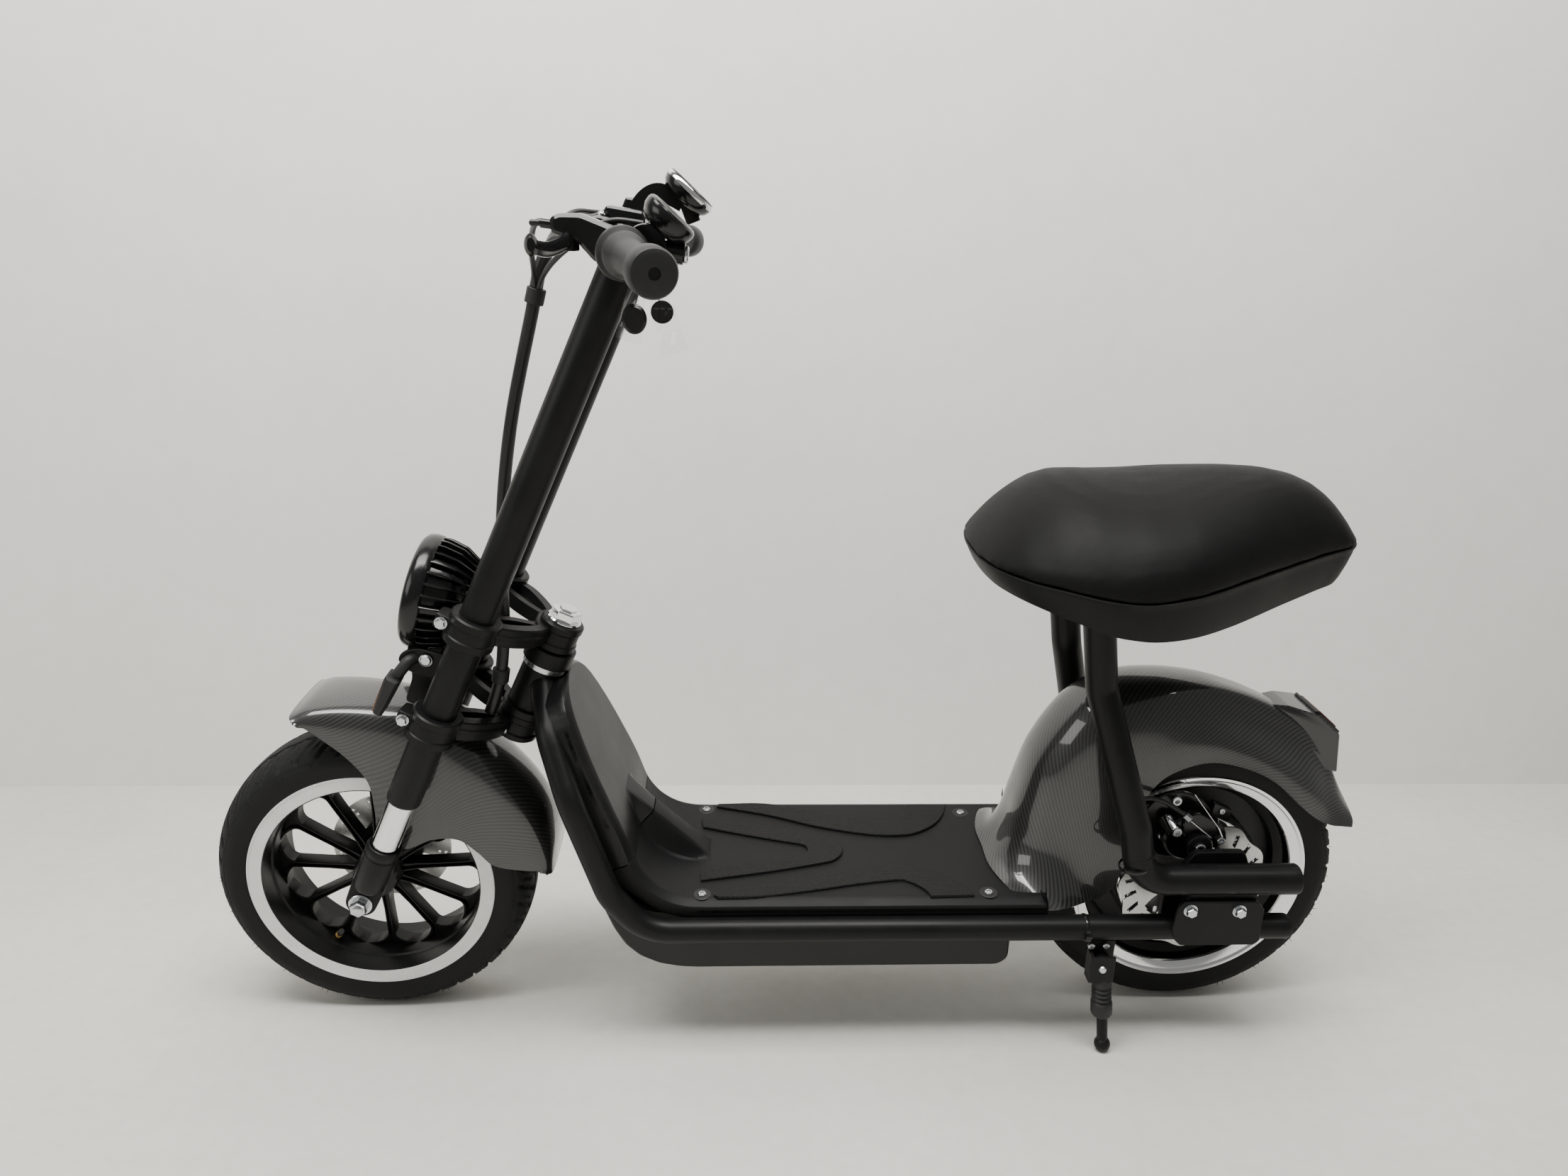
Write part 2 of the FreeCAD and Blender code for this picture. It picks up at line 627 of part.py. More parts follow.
def cord_tube(points, radius):
    """A round cord: straight runs with the largest tangent arcs that the two runs beside each corner allow."""
    edges = []
    radii = []
    last = points[0]
    for before, corner, after in zip(points, points[1:], points[2:]):
        short = min((before - corner).Length, (after - corner).Length)
        back = (before - corner).normalize()
        ahead = (after - corner).normalize()
        half_turn = (math.pi - back.getAngle(ahead)) / 2
        cut = 0.45 * short
        bend = cut / math.tan(half_turn)
        radii.append(round(bend))
        first = corner + back * cut
        second = corner + ahead * cut
        middle_way = (back + ahead).normalize()
        middle = corner + middle_way * (bend / math.cos(half_turn) - bend)
        edges.append(Part.LineSegment(last, first).toShape())
        edges.append(Part.Arc(first, middle, second).toShape())
        last = second
    edges.append(Part.LineSegment(last, points[-1]).toShape())
    spine = Part.Wire(edges)
    ring = Part.Wire(Part.makeCircle(radius, points[0], points[1] - points[0]))
    tube = spine.makePipeShell([ring], True, False)
    print("cord radii", radii, "volume share", round(tube.Volume / (spine.Length * math.pi * radius ** 2), 4))
    return tube


def cables():
    """The bundle of cables from the handlebar down between the fork legs."""
    route = [
        Vector(196, 34, 884), Vector(224, 32, 890), Vector(246, 28, 866), Vector(256, 26, 822),
        Vector(270, 24, 772), Vector(284, 23, 718), Vector(295, 22, 660), Vector(303, 20, 600),
        Vector(307, 18, 540), Vector(308, 20, 489), Vector(312, 23, 449), Vector(317, 26, 421.5),
        Vector(328.3, 28, 391.9),
    ]
    node("cable_bundle", cord_tube(route, size("cable_diameter") / 2))


def lamp_fittings(housing):
    """The headlamp's bracket on the lower clamp, and the turn signals that hang beside it."""
    plate = slab([(24, 240), (24, 262), (48, 300), (60, 290), (44, 240)], FORK_SIDE, -16, 16)
    bridge = slab([(14, 236), (14, 254), (32, 254), (32, 236)], FORK_SIDE, -62, 62)
    bracket = plate.fuse(bridge)
    taken = [piece.Shape for piece in nodes if piece.Label in ("lower_clamp", "headlamp", "headlamp_lens")]
    taken += [piece.Shape for piece in nodes if piece.Label.startswith("fork_leg")]
    bracket = bracket.cut(taken)
    bracket = max(bracket.Solids, key=lambda solid: solid.Volume)
    node("headlamp_bracket", bracket)
    for name, side in (("left", 1), ("right", -1)):
        root = on_fork(244, 32, side * 50)
        bend = root + Vector(40, side * 6, 12)
        tip = bend + Vector(20, side * 4, -58)
        stalk = rod(root, bend, 6).fuse(Part.makeSphere(6, bend))
        body = Part.makeCone(8, 14, 44, bend, tip - bend)
        body = body.fuse(Part.makeCone(14, 6, 22, bend + (tip - bend).normalize() * 44, tip - bend))
        node("turn_signal_" + name, stalk.fuse(body).cut([bracket, housing]))


def calipers():
    """The two brake calipers, each gripping its disc from above."""
    front_out = -size("hub_half_width")
    disc = size("disc_thickness")
    front = rod(on_fork(44, -38, front_out + 8), on_fork(44, -38, front_out - disc - 12), 22)
    slot = ring_of([(0, front_out + 1), (size("front_disc_radius") + 3, front_out + 1),
                    (size("front_disc_radius") + 3, front_out - disc - 1), (0, front_out - disc - 1)], FRONT_AXLE)
    arm = slab([(-44, 30), (-44, 58), (4, 66), (4, 40)], FORK_SIDE, size("leg_half_gap") - 22,
               size("leg_half_gap") - 12)
    taken = [piece.Shape for piece in nodes if piece.Label in ("slider_right", "stanchion_right", "front_rim")]
    node("front_caliper", front.fuse(arm).cut([slot] + taken))
    boss = size("motor_boss_half_width")
    centre = REAR_AXLE + Vector(-4, 0, 72)
    rear = rod(centre + LEFT * (boss - 6.5), centre + LEFT * (boss + disc + 14), 24)
    rear = rear.fuse(side_slab([(-452, 236), (-452, 262), (-508, 262), (-508, 236)], boss + disc + 4, 85))
    rear_slot = ring_of([(0, boss - 1), (size("rear_disc_radius") + 3, boss - 1),
                         (size("rear_disc_radius") + 3, boss + disc + 1), (0, boss + disc + 1)], REAR_AXLE)
    plate = [piece.Shape for piece in nodes if piece.Label == "axle_plate_left"]
    node("rear_caliper", rear.cut([rear_slot] + plate))


def cockpit():
    """Handlebar with its clamps, grips, levers, display and switch pod."""
    bar = size("bar_diameter") / 2
    end = size("bar_half_width")
    grip = size("grip_diameter") / 2
    grip_start = end - size("grip_length")
    centre = Vector(176, 0, 884)
    elbow = Vector(172, 0, 884)
    tip = Vector(120, 0, 872)
    run = [tip - LEFT * (end - 1), elbow - LEFT * 120, centre, elbow + LEFT * 120, tip + LEFT * (end - 1)]
    run = [tip - LEFT * (end - 1), elbow - LEFT * 120, elbow + LEFT * 120, tip + LEFT * (end - 1)]
    handlebar = bent_rod(run, bar, 60)
    node("handlebar", handlebar)
    for name, side in (("left", 1), ("right", -1)):
        way = (tip + LEFT * (side * end) - elbow - LEFT * (side * 120)).normalize()
        outer = tip + LEFT * (side * end)
        sleeve = rod(outer - way * size("grip_length"), outer, grip)
        sleeve = sleeve.fuse(rod(outer - way * size("grip_length"), outer - way * (size("grip_length") - 5), grip + 4))
        node("grip_" + name, sleeve.cut(handlebar))
        root = outer - way * (size("grip_length") + 24)
        perch = rod(root - way * 10, root + way * 10, bar + 6).cut(handlebar)
        lever = bent_rod([root + Vector(14, 0, 2), root + Vector(34, 0, 2), root + Vector(42, side * 112, -4)], 5, 14)
        node("brake_lever_" + name, perch.fuse(lever).cut(handlebar))
    gap = size("leg_half_gap")
    leg = size("leg_diameter") / 2
    clamps = []
    for side in (-1, 1):
        y = side * gap
        top = on_fork(size("leg_length"), 0, y)
        post = rod(top, top + UP_FORK * 26, leg - 5)
        saddle_clamp = rod(Vector(elbow.x, y - 16, elbow.z), Vector(elbow.x, y + 16, elbow.z), bar + 9)
        clamps.append(post.fuse(saddle_clamp).cut(handlebar).cut(
            rod(top - UP_FORK * 60, top, leg)))
    node("bar_clamps", Part.makeCompound(clamps))
    face = Vector(108, 0, 928)
    way = Vector(math.cos(math.radians(130)), 0, math.sin(math.radians(130)))
    display = rod(face - way * 12, face, 31)
    arm = rod(face - way * 10, Vector(elbow.x - 4, 0, elbow.z + 14), 6)
    collar = rod(Vector(elbow.x, -9, elbow.z), Vector(elbow.x, 9, elbow.z), bar + 5)
    node("display", display.fuse([arm, collar]).cut(handlebar))
    pod_root = outer_point(tip, end, elbow, size("grip_length") + 46)
    pod = rod(pod_root - LEFT * 12, pod_root + LEFT * 8, bar + 6).fuse(
        rod(pod_root + Vector(-16, -4, 4), pod_root + Vector(-24, -4, 26), 18))
    lever_left = [piece.Shape for piece in nodes if piece.Label == "brake_lever_left"]
    node("switch_pod", pod.cut([handlebar] + lever_left))


def side_stand():
    """The stand's bracket, leg and foot, reaching the floor where the scooter leans on it."""
    pivot = Vector(size("stand_x"), size("stand_y"), size("stand_pivot_height"))
    bracket = Part.makeBox(24, 8, 36)
    bracket.translate(pivot + Vector(-12, -14, -8))
    tube = [piece.Shape for piece in nodes if piece.Label == "main_tube_left"]
    node("stand_bracket", bracket.cut(tube))
    lean = math.radians(size("lean_angle"))
    foot_radius = size("stand_foot_radius")
    leaned_foot = Vector(size("stand_foot_x"), size("stand_foot_y"), foot_radius + floor_dip())
    foot = Vector(leaned_foot.x, leaned_foot.y * math.cos(lean) - leaned_foot.z * math.sin(lean),
                  leaned_foot.y * math.sin(lean) + leaned_foot.z * math.cos(lean))
    leg = rod(pivot + Vector(0, 0, 6), foot, size("stand_leg_diameter") / 2)
    leg = leg.fuse(Part.makeSphere(foot_radius, foot))
    leg = leg.fuse(rod(pivot - LEFT * 5.6, pivot + LEFT * 7, 11))
    leg = leg.cut(Part.makeBox(60, 20, 160, pivot + Vector(-30, -25.7, -120)))
    node("side_stand", leg)


def floor_dip():
    """How far the leaned tyre's shoulder dips below the floor line of the upright scooter (negative)."""
    tyre = [piece for piece in nodes if piece.Label == "rear_tyre"][0]
    shape = tyre.Shape.copy()
    shape.rotate(Vector(), FORWARD, -size("lean_angle"))
    return shape.optimalBoundingBox(False, False).ZMin


front_wheel()
rear_wheel()
fork()
tubes, crosses = head_and_frame()
legs = [piece.Shape for piece in nodes if piece.Label.split("_")[0] in ("fork", "stanchion", "slider")]
front_fender(legs)
rear_fender()
body_work(tubes, crosses)
saddle(tubes)
lamp_fittings(headlamp())
cockpit()
cables()
calipers()
side_stand()

leaned = Placement(Vector(), Rotation(FORWARD, -size("lean_angle")))
box = FreeCAD.BoundBox()
for piece in nodes:
    piece.Placement = leaned.multiply(piece.Placement)
    box.add(piece.Shape.optimalBoundingBox(False, False))
shift = Placement(Vector(-(box.XMin + box.XMax) / 2, -(box.YMin + box.YMax) / 2, -box.ZMin), Rotation())
for piece in nodes:
    piece.Placement = shift.multiply(piece.Placement)
doc.recompute()

for item in doc.Objects:
    if "Invalid" in item.State or "Error" in item.State:
        raise RuntimeError(f"{item.Label} failed")
os.makedirs("parts", exist_ok=True)
for piece in nodes:
    if piece.Shape.isNull() or not piece.Shape.isValid():
        raise RuntimeError(f"{piece.Label} has no valid shape")
    piece.Shape.exportStep(f"parts/{piece.Label}.step")
    print(piece.Label, len(piece.Shape.Solids), round(piece.Shape.Volume / 1000, 1))
print("shift", [round(value, 3) for value in shift.Base], "box", [round(value, 1) for value in (
    box.XMin, box.XMax, box.YMin, box.YMax, box.ZMin, box.ZMax)])
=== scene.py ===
# %% [markdown]
# # An electric chopper scooter, dressed for its photograph
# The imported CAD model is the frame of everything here: real sizes, in metres, leaning on its side stand.
# This lesson hangs the looks on it. Each step first says what a piece is on the real scooter, how it
# could be made in Blender, and why this way was chosen.

# %% Load the fixed frame
import json
import math

import bmesh
import bpy
import numpy as np
from mathutils import Matrix


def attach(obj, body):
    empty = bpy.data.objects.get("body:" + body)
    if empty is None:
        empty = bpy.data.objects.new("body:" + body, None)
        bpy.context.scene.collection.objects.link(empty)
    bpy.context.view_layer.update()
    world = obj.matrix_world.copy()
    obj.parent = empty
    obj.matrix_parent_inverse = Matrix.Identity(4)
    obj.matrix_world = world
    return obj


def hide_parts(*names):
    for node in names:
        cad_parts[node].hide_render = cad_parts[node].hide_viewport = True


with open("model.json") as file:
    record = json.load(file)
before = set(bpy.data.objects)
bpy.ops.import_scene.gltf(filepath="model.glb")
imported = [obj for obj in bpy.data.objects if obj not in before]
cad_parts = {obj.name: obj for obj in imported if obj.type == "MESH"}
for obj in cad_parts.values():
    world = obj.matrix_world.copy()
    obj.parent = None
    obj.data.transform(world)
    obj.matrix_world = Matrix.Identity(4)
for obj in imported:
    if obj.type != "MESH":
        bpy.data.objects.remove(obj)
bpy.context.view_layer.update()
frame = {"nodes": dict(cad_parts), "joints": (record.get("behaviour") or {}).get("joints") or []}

nodes = frame["nodes"]

# %% [markdown]
# ## Upright millimetres
# The scooter parks leaning, which makes bare numbers hard to read. So each shape is worked out on the
# upright scooter in millimetres: X forward, Y to its left, Z up from the floor, zero midway between the
# axles. One function then leans the points and moves them into the model's frame. Both axles are known
# there from the wheels' joints, so nothing is fitted by eye.

# %% From the upright scooter to the parked one
joints = {joint["name"]: joint for joint in frame["joints"]}
AXLES = np.array([joints["front_spin"]["pos_m"], joints["rear_spin"]["pos_m"]])
LEVEL_AXIS = joints["front_spin"]["axis"]
LEAN = math.atan2(-LEVEL_AXIS[2], LEVEL_AXIS[1])
WHEEL = 180.0
HALF_BASE = 500 * np.linalg.norm(AXLES[0] - AXLES[1])
RAKE = math.radians(24.2)
FRONT_AXLE = np.array([HALF_BASE, 0, WHEEL])
REAR_AXLE = np.array([-HALF_BASE, 0, WHEEL])
STEM_BACK = -80.0
LEG_GAP = 72.5


def placed(points):
    """Upright millimetres to the model's metres: y and z turn by the lean about the axles' middle."""
    p = np.asarray(points, float) - (0, 0, WHEEL)
    across, up = p[..., 1], p[..., 2]
    leaned = [p[..., 0], math.cos(LEAN) * across + math.sin(LEAN) * up,
              math.cos(LEAN) * up - math.sin(LEAN) * across]
    return np.stack(leaned, -1) / 1000 + AXLES.mean(0)


def frame_of(origin, *axes):
    """A local frame: the function takes points (a, b, c) to origin + a, b and c times the three axes."""
    axes = np.array(axes, float)
    axes /= np.linalg.norm(axes, axis=1)[:, None]
    return lambda points: np.asarray(points, float) @ axes + np.asarray(origin, float)


def facing(at, way):
    """A local frame at a point, its third axis along the way."""
    way = np.asarray(way, float) / np.linalg.norm(way)
    side = np.cross(way, Y if abs(way[1]) < 0.9 else X)
    return frame_of(at, side, np.cross(way, side), way)


X, Y, Z = np.eye(3)
SIDES = (("left", 1), ("right", -1))
UP_FORK = np.array([-math.sin(RAKE), 0, math.cos(RAKE)])
AHEAD = np.array([math.cos(RAKE), 0, math.sin(RAKE)])
side_view = frame_of((0, 0, 0), X, Z, Y)
fork_plan = frame_of(FRONT_AXLE, AHEAD, Y, UP_FORK)
fork_side = frame_of(FRONT_AXLE, AHEAD, UP_FORK, Y)
front_hub = frame_of(FRONT_AXLE, X, Z, Y)
rear_hub = frame_of(REAR_AXLE, X, Z, Y)
stem_at = frame_of(FRONT_AXLE + STEM_BACK * AHEAD, AHEAD, Y, UP_FORK)


def on_fork(along, ahead=0.0, side=0.0):
    """One point on the fork: up along the legs from the axle, ahead of them, and to the left."""
    return fork_plan((ahead, side, along))


print("lean", round(math.degrees(LEAN), 2), "degrees; wheelbase", round(2 * HALF_BASE, 1), "mm")

# %% [markdown]
# ## Surfaces as grids
# Nearly every piece of a scooter is turned, bent from tube or cut from plate. Each of these is a surface
# of two parameters, so it can be a grid of points worked out as one numpy array. A shape here is its
# points, its faces and a pattern coordinate in millimetres for every corner, so weave and grain keep
# their real scale on curved parts.

# %% Grids, turned shapes, swept shapes and plates
def grid(points, wrap=(False, False), caps=False):
    """Quads over points[i, j]. A wrapped direction closes on itself; caps close the i direction's ends.
    The pattern coordinate is the mean arc length along i and along j."""
    points = np.asarray(points, float)
    n, m = points.shape[:2]
    i, j = (k.ravel()
            for k in np.meshgrid(np.arange(n - 1 + wrap[0]), np.arange(m - 1 + wrap[1]), indexing="ij"))
    lengths = []
    for axis in (0, 1):
        closed = np.concatenate([points, points.take([0], axis)], axis)
        steps = np.linalg.norm(np.diff(closed, axis=axis), axis=2).mean(1 - axis)
        lengths.append(np.concatenate([[0], np.cumsum(steps)]))
    corners = [(i, j), (i + 1, j), (i + 1, j + 1), (i, j + 1)]
    faces = np.stack([a % n * m + b % m for a, b in corners], 1).tolist()
    pattern = np.stack([np.stack([lengths[0][a], lengths[1][b]], 1) for a, b in corners], 1).reshape(-1, 2)
    if caps:
        faces += [list(range(m))[::-1], list(range((n - 1) * m, n * m))]
        pattern = np.concatenate([pattern, np.zeros((2 * m, 2))])
    return points.reshape(-1, 3), faces, pattern


def joined(*shapes):
    """Several shapes as one: points one after another, faces counted on."""
    points, faces, patterns = zip(*shapes)
    firsts = np.cumsum([0] + [len(part) for part in points])
    faces = [[k + first for k in face] for first, part in zip(firsts, faces) for face in part]
    return np.concatenate(points), faces, np.concatenate(patterns)


def smooth(points, count, closed=False):
    """Catmull-Rom: a curve through the points, sampled evenly in its parameter."""
    p = np.asarray(points, float)
    before, after = (p[-1:], p[:2]) if closed else (2 * p[:1] - p[1:2], 2 * p[-1:] - p[-2:-1])
    p = np.concatenate([before, p, after])
    spans = len(p) - 3
    t = np.linspace(0, spans, count, endpoint=not closed)
    k = np.minimum(t.astype(int), spans - 1)
    f = (t - k)[:, None]
    a, b, c, d = p[k], p[k + 1], p[k + 2], p[k + 3]
    return b + 0.5 * f * (c - a + f * (2 * a - 5 * b + 4 * c - d + f * (3 * (b - c) + d - a)))


def rounded(points, radius, steps=5):
    """A closed flat outline with each corner replaced by a parabola that starts radius away from it."""
    p = np.asarray(points, float)
    reach = np.broadcast_to(np.asarray(radius, float), len(p))[:, None]
    ends = []
    for other in (np.roll(p, 1, 0), np.roll(p, -1, 0)):
        span = np.linalg.norm(other - p, axis=1, keepdims=True)
        ends.append(p + (other - p) * np.minimum(reach / np.maximum(span, 1e-9), 0.48))
    t = np.linspace(0, 1, steps)[None, :, None]
    bow = (1 - t) ** 2 * ends[0][:, None] + 2 * t * (1 - t) * p[:, None] + t ** 2 * ends[1][:, None]
    return bow.reshape(-1, p.shape[1])


def turns(count):
    """Angles of one full turn."""
    return np.linspace(0, 2 * np.pi, count, endpoint=False)


def turned(profile, to, around=64, closed=False):
    """A lathe: the profile (radius, height) turned about the local third axis.
    Point = (r cos a, r sin a, h)."""
    angle = turns(around)[None, :, None]
    r, h = (np.asarray(profile, float)[:, k, None, None] for k in (0, 1))
    return grid(to(np.concatenate([r * np.cos(angle), r * np.sin(angle), h + 0 * angle], 2)),
                (closed, True))


def ring(profile, to, around=128):
    """A closed profile turned about the third axis: a ring with no open edge."""
    return turned(profile, to, around, True)


def swept(path, section, up=(0, 0, 1), caps=True, scale=None):
    """A section (across, over) carried along a path. Across = tangent x up, over = across x tangent."""
    path, section = np.asarray(path, float), np.asarray(section, float)
    tangent = np.gradient(path, axis=0)
    tangent /= np.linalg.norm(tangent, axis=1)[:, None]
    across = np.cross(tangent, np.asarray(up, float))
    across /= np.linalg.norm(across, axis=1)[:, None]
    over = np.cross(across, tangent)
    grow = np.ones(len(path)) if scale is None else np.asarray(scale, float)
    a, b = section[None, :, :1], section[None, :, 1:]
    rings = grow[:, None, None] * (a * across[:, None] + b * over[:, None])
    return grid(path[:, None] + rings, (False, True), caps)


def oval(wide, high, count=24, middle=(0, 0)):
    """Points of a flat ellipse."""
    a = turns(count)
    return np.column_stack([wide * np.cos(a), high * np.sin(a)]) + middle


def circle(radius, count=24):
    """Points of a flat circle."""
    return oval(radius, radius, count)


def plate(outline, low, high, to, edge=0.8):
    """A flat outline (a, b) as a plate between two levels of c, its rim drawn in by the edge on both
    faces so that it catches light like a broken edge."""
    outline, low, high = np.asarray(outline, float), min(low, high), max(low, high)
    before, after = np.roll(outline, 1, 0), np.roll(outline, -1, 0)
    along = (after - before) / np.maximum(np.linalg.norm(after - before, axis=1), 1e-9)[:, None]
    area = np.sum(outline[:, 0] * after[:, 1] - after[:, 0] * outline[:, 1])
    inward = np.stack([-along[:, 1], along[:, 0]], 1) * (1 if area > 0 else -1)
    rings = [(edge, low), (0, low + edge), (0, high - edge), (edge, high)]
    stack = [np.column_stack([outline + inward * pull, np.full(len(outline), level)])
             for pull, level in rings]
    return grid(to(np.array(stack)), (False, True), True)


def rod(start, end, radius, count=24, edge=0.8):
    """A round bar between two points with broken edges."""
    way = np.subtract(end, start)
    length = np.linalg.norm(way)
    return turned([(0, 0), (radius - edge, 0), (radius, edge), (radius, length - edge),
                   (radius - edge, length), (0, length)], facing(start, way), count)


def bolt(at, way, head=5.0, high=5.0, kind="socket"):
    """A bolt head: six flats on a washer, or a round socket head with its hexagonal recess."""
    to = facing(at, way)
    if kind == "hex":
        washer = turned([(0, 0), (head * 1.25, 0), (head * 1.25, 1.2), (0, 1.2)], to, 24)
        flats = [(0, 1.2), (head, 1.2), (head, high - 1), (head * 0.9, high), (0, high)]
        return joined(washer, turned(flats, to, 6))
    profile = [(0, 0), (head, 0), (head, high - 0.8), (head - 0.8, high), (1, high), (1, high * 0.4),
               (0, high * 0.4)]
    points, faces, pattern = turned(profile, frame_of((0, 0, 0), X, Y, Z), 24)
    recess = np.isclose(np.hypot(points[:, 0], points[:, 1]), 1) & (points[:, 2] > 0.1)
    flat = np.mod(np.arctan2(points[:, 1], points[:, 0]), math.pi / 3) - math.pi / 6
    points[recess, :2] *= (head * 0.55 / np.cos(flat[recess]))[:, None]
    return to(points), faces, pattern


# %% [markdown]
# A shape becomes a Blender object in one place. Points that coincide are merged, so seams and poles are
# closed, the faces are turned outwards, and the shading is smooth except over sharp corners. The object
# itself stays at the origin: the place is in the mesh.

# %% From shape to object
made = {}


def shown(name, data):
    """A new object in the scene."""
    thing = bpy.data.objects.new(name, data)
    bpy.context.scene.collection.objects.link(thing)
    return thing


def piece(name, shape, material, body, stands_for=(), crisp=35):
    """A finished piece: its mesh, material, the CAD body it rides on and the CAD solids it stands for."""
    points, faces, pattern = shape
    mesh = bpy.data.meshes.new(name)
    mesh.from_pydata(placed(points).tolist(), [], faces)
    pattern = np.ascontiguousarray(pattern, np.float32).ravel() / 1000
    mesh.uv_layers.new(name="UVMap").data.foreach_set("uv", pattern)
    work = bmesh.new()
    work.from_mesh(mesh)
    bmesh.ops.remove_doubles(work, verts=work.verts, dist=2e-6)
    bmesh.ops.dissolve_degenerate(work, edges=work.edges, dist=1e-6)
    bmesh.ops.recalc_face_normals(work, faces=work.faces)
    work.to_mesh(mesh)
    work.free()
    mesh.shade_smooth()
    mesh.set_sharp_from_angle(angle=math.radians(crisp))
    mesh.materials.append(material)
    thing = shown(name, mesh)
    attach(thing, body)
    if stands_for:
        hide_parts(*stands_for)
    made[name] = thing
    return thing

# %% [markdown]
# ## Finishes
# The scooter is nearly all black, so it is the differences between the blacks that tell its parts apart:
# satin paint, glossy and matt carbon film, grained plastic, vinyl, and rubber. Each finish is a
# Principled shader fed by a few shared effects. An effect that several finishes use is a node group
# with named sockets, so that one good grain or weave serves them all, each at its own scale.

# %% Small helpers for node trees
def feed(node, inputs):
    """Set a node's inputs; each may be a value or another node's output socket."""
    for key, value in inputs.items():
        if isinstance(value, bpy.types.NodeSocket):
            node.id_data.links.new(value, node.inputs[key])
        else:
            node.inputs[key].default_value = value


def add(tree, kind, inputs=None, **settings):
    """A node with its settings and inputs."""
    new = tree.nodes.new(kind)
    for key, value in settings.items():
        setattr(new, key, value)
    feed(new, inputs or {})
    return new


def sums(tree, operation, *values):
    """One Math node; its output socket."""
    return add(tree, "ShaderNodeMath", dict(enumerate(values)), operation=operation).outputs[0]


def effect(name, inputs, outputs):
    """An empty shader node group with named sockets: floats, vectors or colours."""
    group = bpy.data.node_groups.new(name, "ShaderNodeTree")
    for label, kind, value in inputs:
        socket = group.interface.new_socket(label, in_out="INPUT", socket_type="NodeSocket" + kind)
        if value is not None:
            socket.default_value = value
    for label, kind in outputs:
        group.interface.new_socket(label, in_out="OUTPUT", socket_type="NodeSocket" + kind)
    return group, group.nodes.new("NodeGroupInput").outputs, group.nodes.new("NodeGroupOutput")


def principled(name):
    """A new material, its node tree, its shader and its Texture Coordinate outputs."""
    material = bpy.data.materials.new(name)
    material.use_nodes = True
    tree = material.node_tree
    return material, tree, tree.nodes["Principled BSDF"], add(tree, "ShaderNodeTexCoord").outputs


def constants(shader, sockets):
    """Plain values on the shader's own sockets, named with _ for a space."""
    feed(shader, {key.replace("_", " "): value for key, value in sockets.items()})


# %% [markdown]
# Grain is the fine unevenness that every painted, moulded or pressed surface has. Two noises at
# different scales give it: one for the pimples and one for the slow waves under them.

# %% The grain effect
grain, into, out = effect("grain",
                          [("Vector", "Vector", None), ("Scale", "Float", 900.0), ("Waves", "Float", 0.3)],
                          [("Height", "Float")])
pimples = add(grain, "ShaderNodeTexNoise",
              {"Vector": into["Vector"], "Scale": into["Scale"], "Detail": 3.0})
slow = sums(grain, "MULTIPLY", into["Scale"], 0.06)
waves = add(grain, "ShaderNodeTexNoise", {"Vector": into["Vector"], "Scale": slow, "Detail": 2.0})
raised = sums(grain, "MULTIPLY_ADD", waves.outputs["Fac"], into["Waves"], pimples.outputs["Fac"])
feed(out, {"Height": raised})

# %% [markdown]
# No part is one even colour. Handling leaves slightly shinier patches, dust lies thinly on some of the
# surface, and the gloss is never quite constant. This effect mixes two tones and two roughnesses by a
# cloudy mask with a few fine streaks.

# %% The handling effect
handling, into, out = effect("handling",
                             [("Vector", "Vector", None), ("Scale", "Float", 18.0),
                              ("Tone", "Color", (0.02, 0.02, 0.02, 1)),
                              ("Dusty tone", "Color", (0.03, 0.03, 0.03, 1)), ("Smooth", "Float", 0.35),
                              ("Rough", "Float", 0.5)],
                             [("Color", "Color"), ("Roughness", "Float"), ("Mask", "Float")])
cloud = add(handling, "ShaderNodeTexNoise",
            {"Vector": into["Vector"], "Scale": into["Scale"], "Detail": 5.0, "Roughness": 0.62})
fine = sums(handling, "MULTIPLY", into["Scale"], 23.0)
specks = add(handling, "ShaderNodeTexNoise", {"Vector": into["Vector"], "Scale": fine, "Detail": 1.0})
mixed = sums(handling, "MULTIPLY_ADD", specks.outputs["Fac"], 0.35, cloud.outputs["Fac"])
mask = add(handling, "ShaderNodeMapRange", {"Value": mixed, "From Min": 0.45, "From Max": 0.95})
tint = add(handling, "ShaderNodeMix", {0: mask.outputs[0], 6: into["Tone"], 7: into["Dusty tone"]},
           data_type="RGBA")
rough = add(handling, "ShaderNodeMapRange", {"Value": mask.outputs[0], "To Min": into["Smooth"],
                                             "To Max": into["Rough"]})
feed(out, {"Color": tint.outputs[2], "Roughness": rough.outputs[0], "Mask": mask.outputs[0]})

# %% [markdown]
# The fenders and the battery box wear a film that looks like carbon cloth: a 2 by 2 twill. Each bundle
# of fibres goes over two and under two, one step along in every row, which is what makes the diagonals.
# Counting rows and columns on the surface's own millimetre coordinate and taking their sum modulo four
# gives just that. A bundle is brightest along its crest, where the fibres face the light.

# %% The twill effect
twill, into, out = effect("twill", [("Vector", "Vector", None), ("Bundle", "Float", 0.0026)],
                          [("Warp", "Float"), ("Crest", "Float"), ("Height", "Float")])
parts = add(twill, "ShaderNodeSeparateXYZ", {"Vector": into["Vector"]})
cells = [sums(twill, "DIVIDE", parts.outputs[k], into["Bundle"]) for k in (0, 1)]
floors = [sums(twill, "FLOOR", cell) for cell in cells]
crests = [sums(twill, "SINE", sums(twill, "MULTIPLY", sums(twill, "FRACT", cell), math.pi))
          for cell in cells]
step = sums(twill, "FLOORED_MODULO", sums(twill, "ADD", *floors), 4.0)
warp = sums(twill, "LESS_THAN", step, 1.5)
along = sums(twill, "MULTIPLY", crests[0], warp)
crest = sums(twill, "MULTIPLY_ADD", crests[1], sums(twill, "SUBTRACT", 1.0, warp), along)
